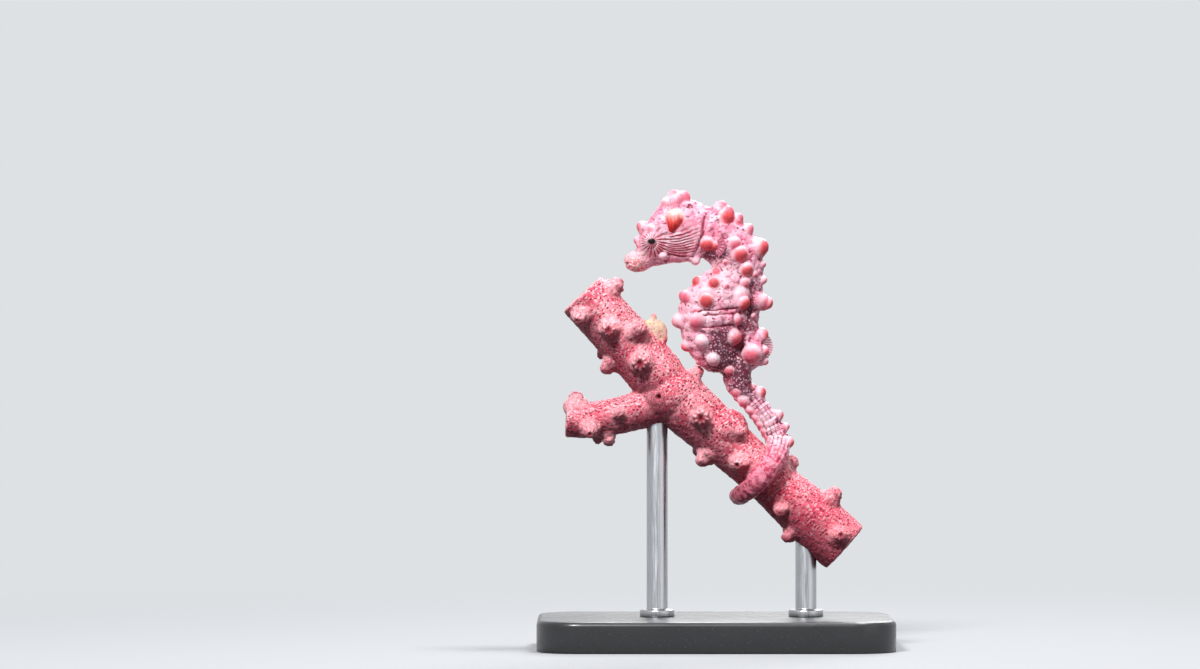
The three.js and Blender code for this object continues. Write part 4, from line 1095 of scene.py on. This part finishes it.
hide.set(Subsurface_Weight=0.12, Subsurface_Scale=0.0002, Subsurface_Radius=(1.0, 0.4, 0.35))
relief = hide.bump(hide.highest(granule, snout * grain) - flecks, 0.03, 0.8)
relief = hide.bump(1.0 - lines, 0.05, cheek, relief)
relief = hide.bump(1.0 - squares, 0.02, 0.8, relief)
hide.set(Normal=hide.bump(hide.noise(0.09, detail=4, rough=0.7), 0.05, 0.7, relief))
finished(skin, hide, [
    "snout", "head", "coronet", "neck", "trunk", "tail_root", "tail_upper", "tail_bend", "tail_front",
    "tail_under", "tail_tip"])

# ---- Eyes ---------------------------------------------------------------------------------------------
# Each eye is a glass ball set in the socket, painted with streaks that run on into those of the cheek. Its
# small pupil looks a little up and forward.

LENS_BULGE = 0.03
PUPIL_HALF = (0.16, 0.12)

gem = Finish("eye_glass")
lines, run, rise = fan_lines(gem)
across, up = (gem.maths("POWER", far / half, 2.0) for far, half in zip((run, rise), PUPIL_HALF))
from_pupil = gem.maths("SQRT", across + up)
# The eye darkens towards its lower part, painted shade that runs on from the lower cheek's.
lower = gem.ramp(rise, 0.1, -0.3)
blotch = gem.ramp(gem.noise(0.3, detail=3), 0.42, 0.6)
colour = gem.mix(blotch, tint(255, 208, 220), tint(246, 152, 170))
for share, laid_over in (
        (lower * 0.4, tint(206, 96, 116)),
        (lines * 0.85, gem.mix(lower, tint(150, 40, 66), tint(92, 22, 40))),
        (gem.ramp(from_pupil, 1.6, 1.1) * 0.5, tint(120, 40, 62)),
        (gem.ramp(from_pupil, 1.1, 0.96), tint(2, 2, 3))):
    colour = gem.mix(share, colour, laid_over)
gem.set(Base_Color=colour, Roughness=0.4, Coat_Weight=0.2, Coat_Roughness=0.06, Specular_IOR_Level=0.15)
gem.set(Normal=gem.bump(1.0 - lines, 0.02, gem.ramp(from_pupil, 1.2, 1.6)))

for name, side in (("left", -1), ("right", 1)):
    bpy.ops.object.select_all(action="DESELECT")
    bpy.ops.mesh.primitive_uv_sphere_add(
        segments=64, ring_count=40, location=(EYE_CENTRE.x, EYE_CENTRE.y * side, EYE_CENTRE.z),
        rotation=(math.pi / 2, 0, 0), scale=(EYE_RADII[0], EYE_RADII[2], EYE_RADII[1]))
    eye = named("eye_" + name)
    bpy.ops.object.transform_apply(location=True, rotation=True, scale=True)
    points, normals = points_and_normals(eye)
    over = np.hypot(points[:, 0] - PUPIL[0], points[:, 2] - PUPIL[1])
    lens = LENS_BULGE * ease(over, 0.24, 0.08) * (points[:, 1] * side > EYE_CENTRE.y)
    carve(eye, points + normals * lens[:, None])
    finished(eye, gem, ["eye_" + name])

# ---- Fins ---------------------------------------------------------------------------------------------
# Thin cast-resin fins, each a fan of fine rays with clear membrane between: a low one along the back over
# the swelling, and a small one behind each gill cover.

FIN_THICKNESS = 0.05
RAY_STEPS = 6
DORSAL_START, DORSAL_END = Vector((2.0, 0, 14.2)), Vector((2.12, 0, 13.0))
DORSAL_RAYS, DORSAL_HEIGHT = 13, 0.4
DORSAL_BULGE, DORSAL_SUNK, DORSAL_BOW, DORSAL_FILM = 0.26, 0.1, 0.012, 0.92
PECTORAL_X, PECTORAL_Z, PECTORAL_ROOT = 0.06, 18.08, 0.3
PECTORAL_RAYS, PECTORAL_REACH = 6, 0.42
PECTORAL_FIRST, PECTORAL_LAST = -72, 50
PECTORAL_SUNK, PECTORAL_LIFT, PECTORAL_BOWS, PECTORAL_FILM = 0.05, 0.1, (0.07, 0.03), 0.93


def ray_fan(name, roots, tips, bows):
    """A fin: a strip of faces drawn out along bowed lines, every other one a ray, given a thickness."""
    fin = empty_piece(name)
    mesh = bmesh.from_edit_mesh(fin.data)
    rows = []
    for root, tip, bow in zip(roots, tips, bows):
        row = []
        for step in range(RAY_STEPS + 1):
            share = step / RAY_STEPS
            row.append(mesh.verts.new(root.lerp(tip, share) + bow * math.sin(math.pi * share)))
        rows.append(row)
    for one, other in zip(rows, rows[1:]):
        for step in range(RAY_STEPS):
            mesh.faces.new((one[step], other[step], other[step + 1], one[step + 1]))
    bmesh.update_edit_mesh(fin.data)
    bpy.ops.object.mode_set(mode="OBJECT")
    note(fin, "ray", np.repeat(np.arange(len(rows)) % 2 == 0, RAY_STEPS + 1).astype(float))
    modified(fin, "SUBSURF", levels=2, render_levels=2, subdivision_type="SIMPLE")
    modified(fin, "SOLIDIFY", thickness=FIN_THICKNESS, offset=0)
    return fin


film = Finish("fin_film")
ray = film.attribute("ray")
film_colour = film.mix(ray, tint(240, 160, 186), tint(206, 84, 120))
film.set(Base_Color=film_colour, Roughness=0.35, Alpha=film.ramp(ray, 0.1, 0.8, 0.3, 0.7))

roots, tips, bows = [], [], []
for number in range(2 * DORSAL_RAYS + 1):
    on_ray = number % 2 == 0
    share = number / (2 * DORSAL_RAYS)
    out = DORSAL_BULGE * math.sin(math.pi * share) - DORSAL_SUNK
    root = DORSAL_START.lerp(DORSAL_END, share) + Vector((out, 0, 0))
    length = DORSAL_HEIGHT * (0.55 + 0.45 * math.sin(math.pi * (0.15 + 0.8 * share)))
    way = Vector((1, 0, 0.35 - 0.9 * share)).normalized()
    roots.append(root)
    tips.append(root + way * length * (1.0 if on_ray else DORSAL_FILM))
    bows.append(Vector((0, DORSAL_BOW if on_ray else -DORSAL_BOW, 0)))
dorsal_fin = ray_fan("dorsal_fin", roots, tips, bows)
finished(dorsal_fin, film, ["fin_dorsal"], smooth=60)

for name, side in (("left", -1), ("right", 1)):
    roots, tips, bows = [], [], []
    for number in range(2 * PECTORAL_RAYS + 1):
        on_ray = number % 2 == 0
        share = number / (2 * PECTORAL_RAYS)
        turn = math.radians(PECTORAL_FIRST + (PECTORAL_LAST - PECTORAL_FIRST) * share)
        reach = PECTORAL_REACH * (0.8 + 0.2 * math.sin(math.pi * share)) * (1.0 if on_ray else PECTORAL_FILM)
        root_z = PECTORAL_Z + PECTORAL_ROOT * (share - 0.5)
        root, out = on_flank(PECTORAL_X, root_z, side)
        tip, tip_out = on_flank(
            PECTORAL_X + reach * math.cos(turn), root_z + reach * math.sin(turn), side)
        roots.append(root - out * PECTORAL_SUNK)
        tips.append(tip + tip_out * PECTORAL_LIFT)
        bows.append(out * PECTORAL_BOWS[0 if on_ray else 1])
    pectoral_fin = ray_fan("pectoral_fin_" + name, roots, tips, bows)
    finished(pectoral_fin, film, ["fin_pectoral_" + name], smooth=60)

# ---- Floor, light and camera --------------------------------------------------------------------------
# A pale floor that fades into an equally pale surround, soft lamps above and to the sides, and a level
# camera at the animal's height.

SURROUND = tint(222, 225, 228)
SURROUND_ON_MODEL = (0.1, 0.1, 0.105, 1)
FLOOR_RADIUS = 3
FADE_FROM, FADE_TO = 0.012, 0.07
# The lamps: where each stands, how wide it is, and its power in watts. All aim at the animal's middle.
LAMPS = (
    ("key_lamp", (-0.055, -0.125, 0.14), 0.045, 0.45), ("top_lamp", (0.04, 0.01, 0.15), 0.035, 0.16),
    ("side_lamp", (0.13, -0.1, 0.05), 0.12, 0.03), ("back_lamp", (0.03, 0.15, 0.11), 0.08, 0.19),
)
LAMPS_AIM = Vector((0, 0, 0.014))
FRAME_WIDTH, SENSOR_WIDTH = 0.054, 36
CAMERA_X, CAMERA_DISTANCE, CAMERA_HEIGHT = -0.005175, 0.25, 0.0141


def looked_at(finish):
    """1 for what the camera sees, directly, mirrored or through something clear, and 0 for stray light."""
    direct, mirrored, through = (
        finish.node("ShaderNodeLightPath", output="Is " + kind + " Ray")
        for kind in ("Camera", "Glossy", "Transmission"))
    return finish.highest(direct, finish.highest(mirrored, through))


bpy.ops.object.select_all(action="DESELECT")
bpy.ops.mesh.primitive_circle_add(vertices=96, radius=FLOOR_RADIUS, fill_type="NGON")
floor = named("floor")
card = Finish("pale_card")
seen = looked_at(card)
away = card.node("ShaderNodeVectorMath", {0: card.place}, "Value", operation="LENGTH")
card.set(Base_Color=card.mix(seen, tint(84, 86, 90), tint(172, 175, 179)))
card.set(Roughness=0.9, Specular_IOR_Level=0.1)
glow = card.node("ShaderNodeEmission", {"Color": SURROUND, "Strength": 1.0})
fade = card.ramp(away, FADE_FROM, FADE_TO) * seen
blend = card.node("ShaderNodeMixShader", {0: fade, 1: Value(card, card.shader.outputs[0]), 2: glow})
card.join(blend, card.tree.nodes["Material Output"].inputs["Surface"])
floor.data.materials.append(card.owner)

surround = Finish("surround", "worlds")
surround.set(Color=surround.mix(looked_at(surround), SURROUND_ON_MODEL, SURROUND))
bpy.context.scene.world = surround.owner

for name, place, size, power in LAMPS:
    lamp_data = bpy.data.lights.new(name, "AREA")
    lamp_data.size, lamp_data.energy = size, power
    lamp = bpy.data.objects.new(name, lamp_data)
    lamp.location = place
    lamp.rotation_euler = (LAMPS_AIM - lamp.location).to_track_quat("-Z", "Y").to_euler()
    bpy.context.scene.collection.objects.link(lamp)

camera_data = bpy.data.cameras.new("camera")
camera_data.sensor_width = SENSOR_WIDTH
camera_data.lens = SENSOR_WIDTH * CAMERA_DISTANCE / FRAME_WIDTH
camera_data.clip_start, camera_data.clip_end = 0.005, 20
camera = bpy.data.objects.new("camera", camera_data)
camera.location = (CAMERA_X, -CAMERA_DISTANCE, CAMERA_HEIGHT)
camera.rotation_euler = (math.pi / 2, 0, 0)
bpy.context.scene.collection.objects.link(camera)
bpy.context.scene.camera = camera
bpy.context.scene.view_settings.view_transform = "Standard"
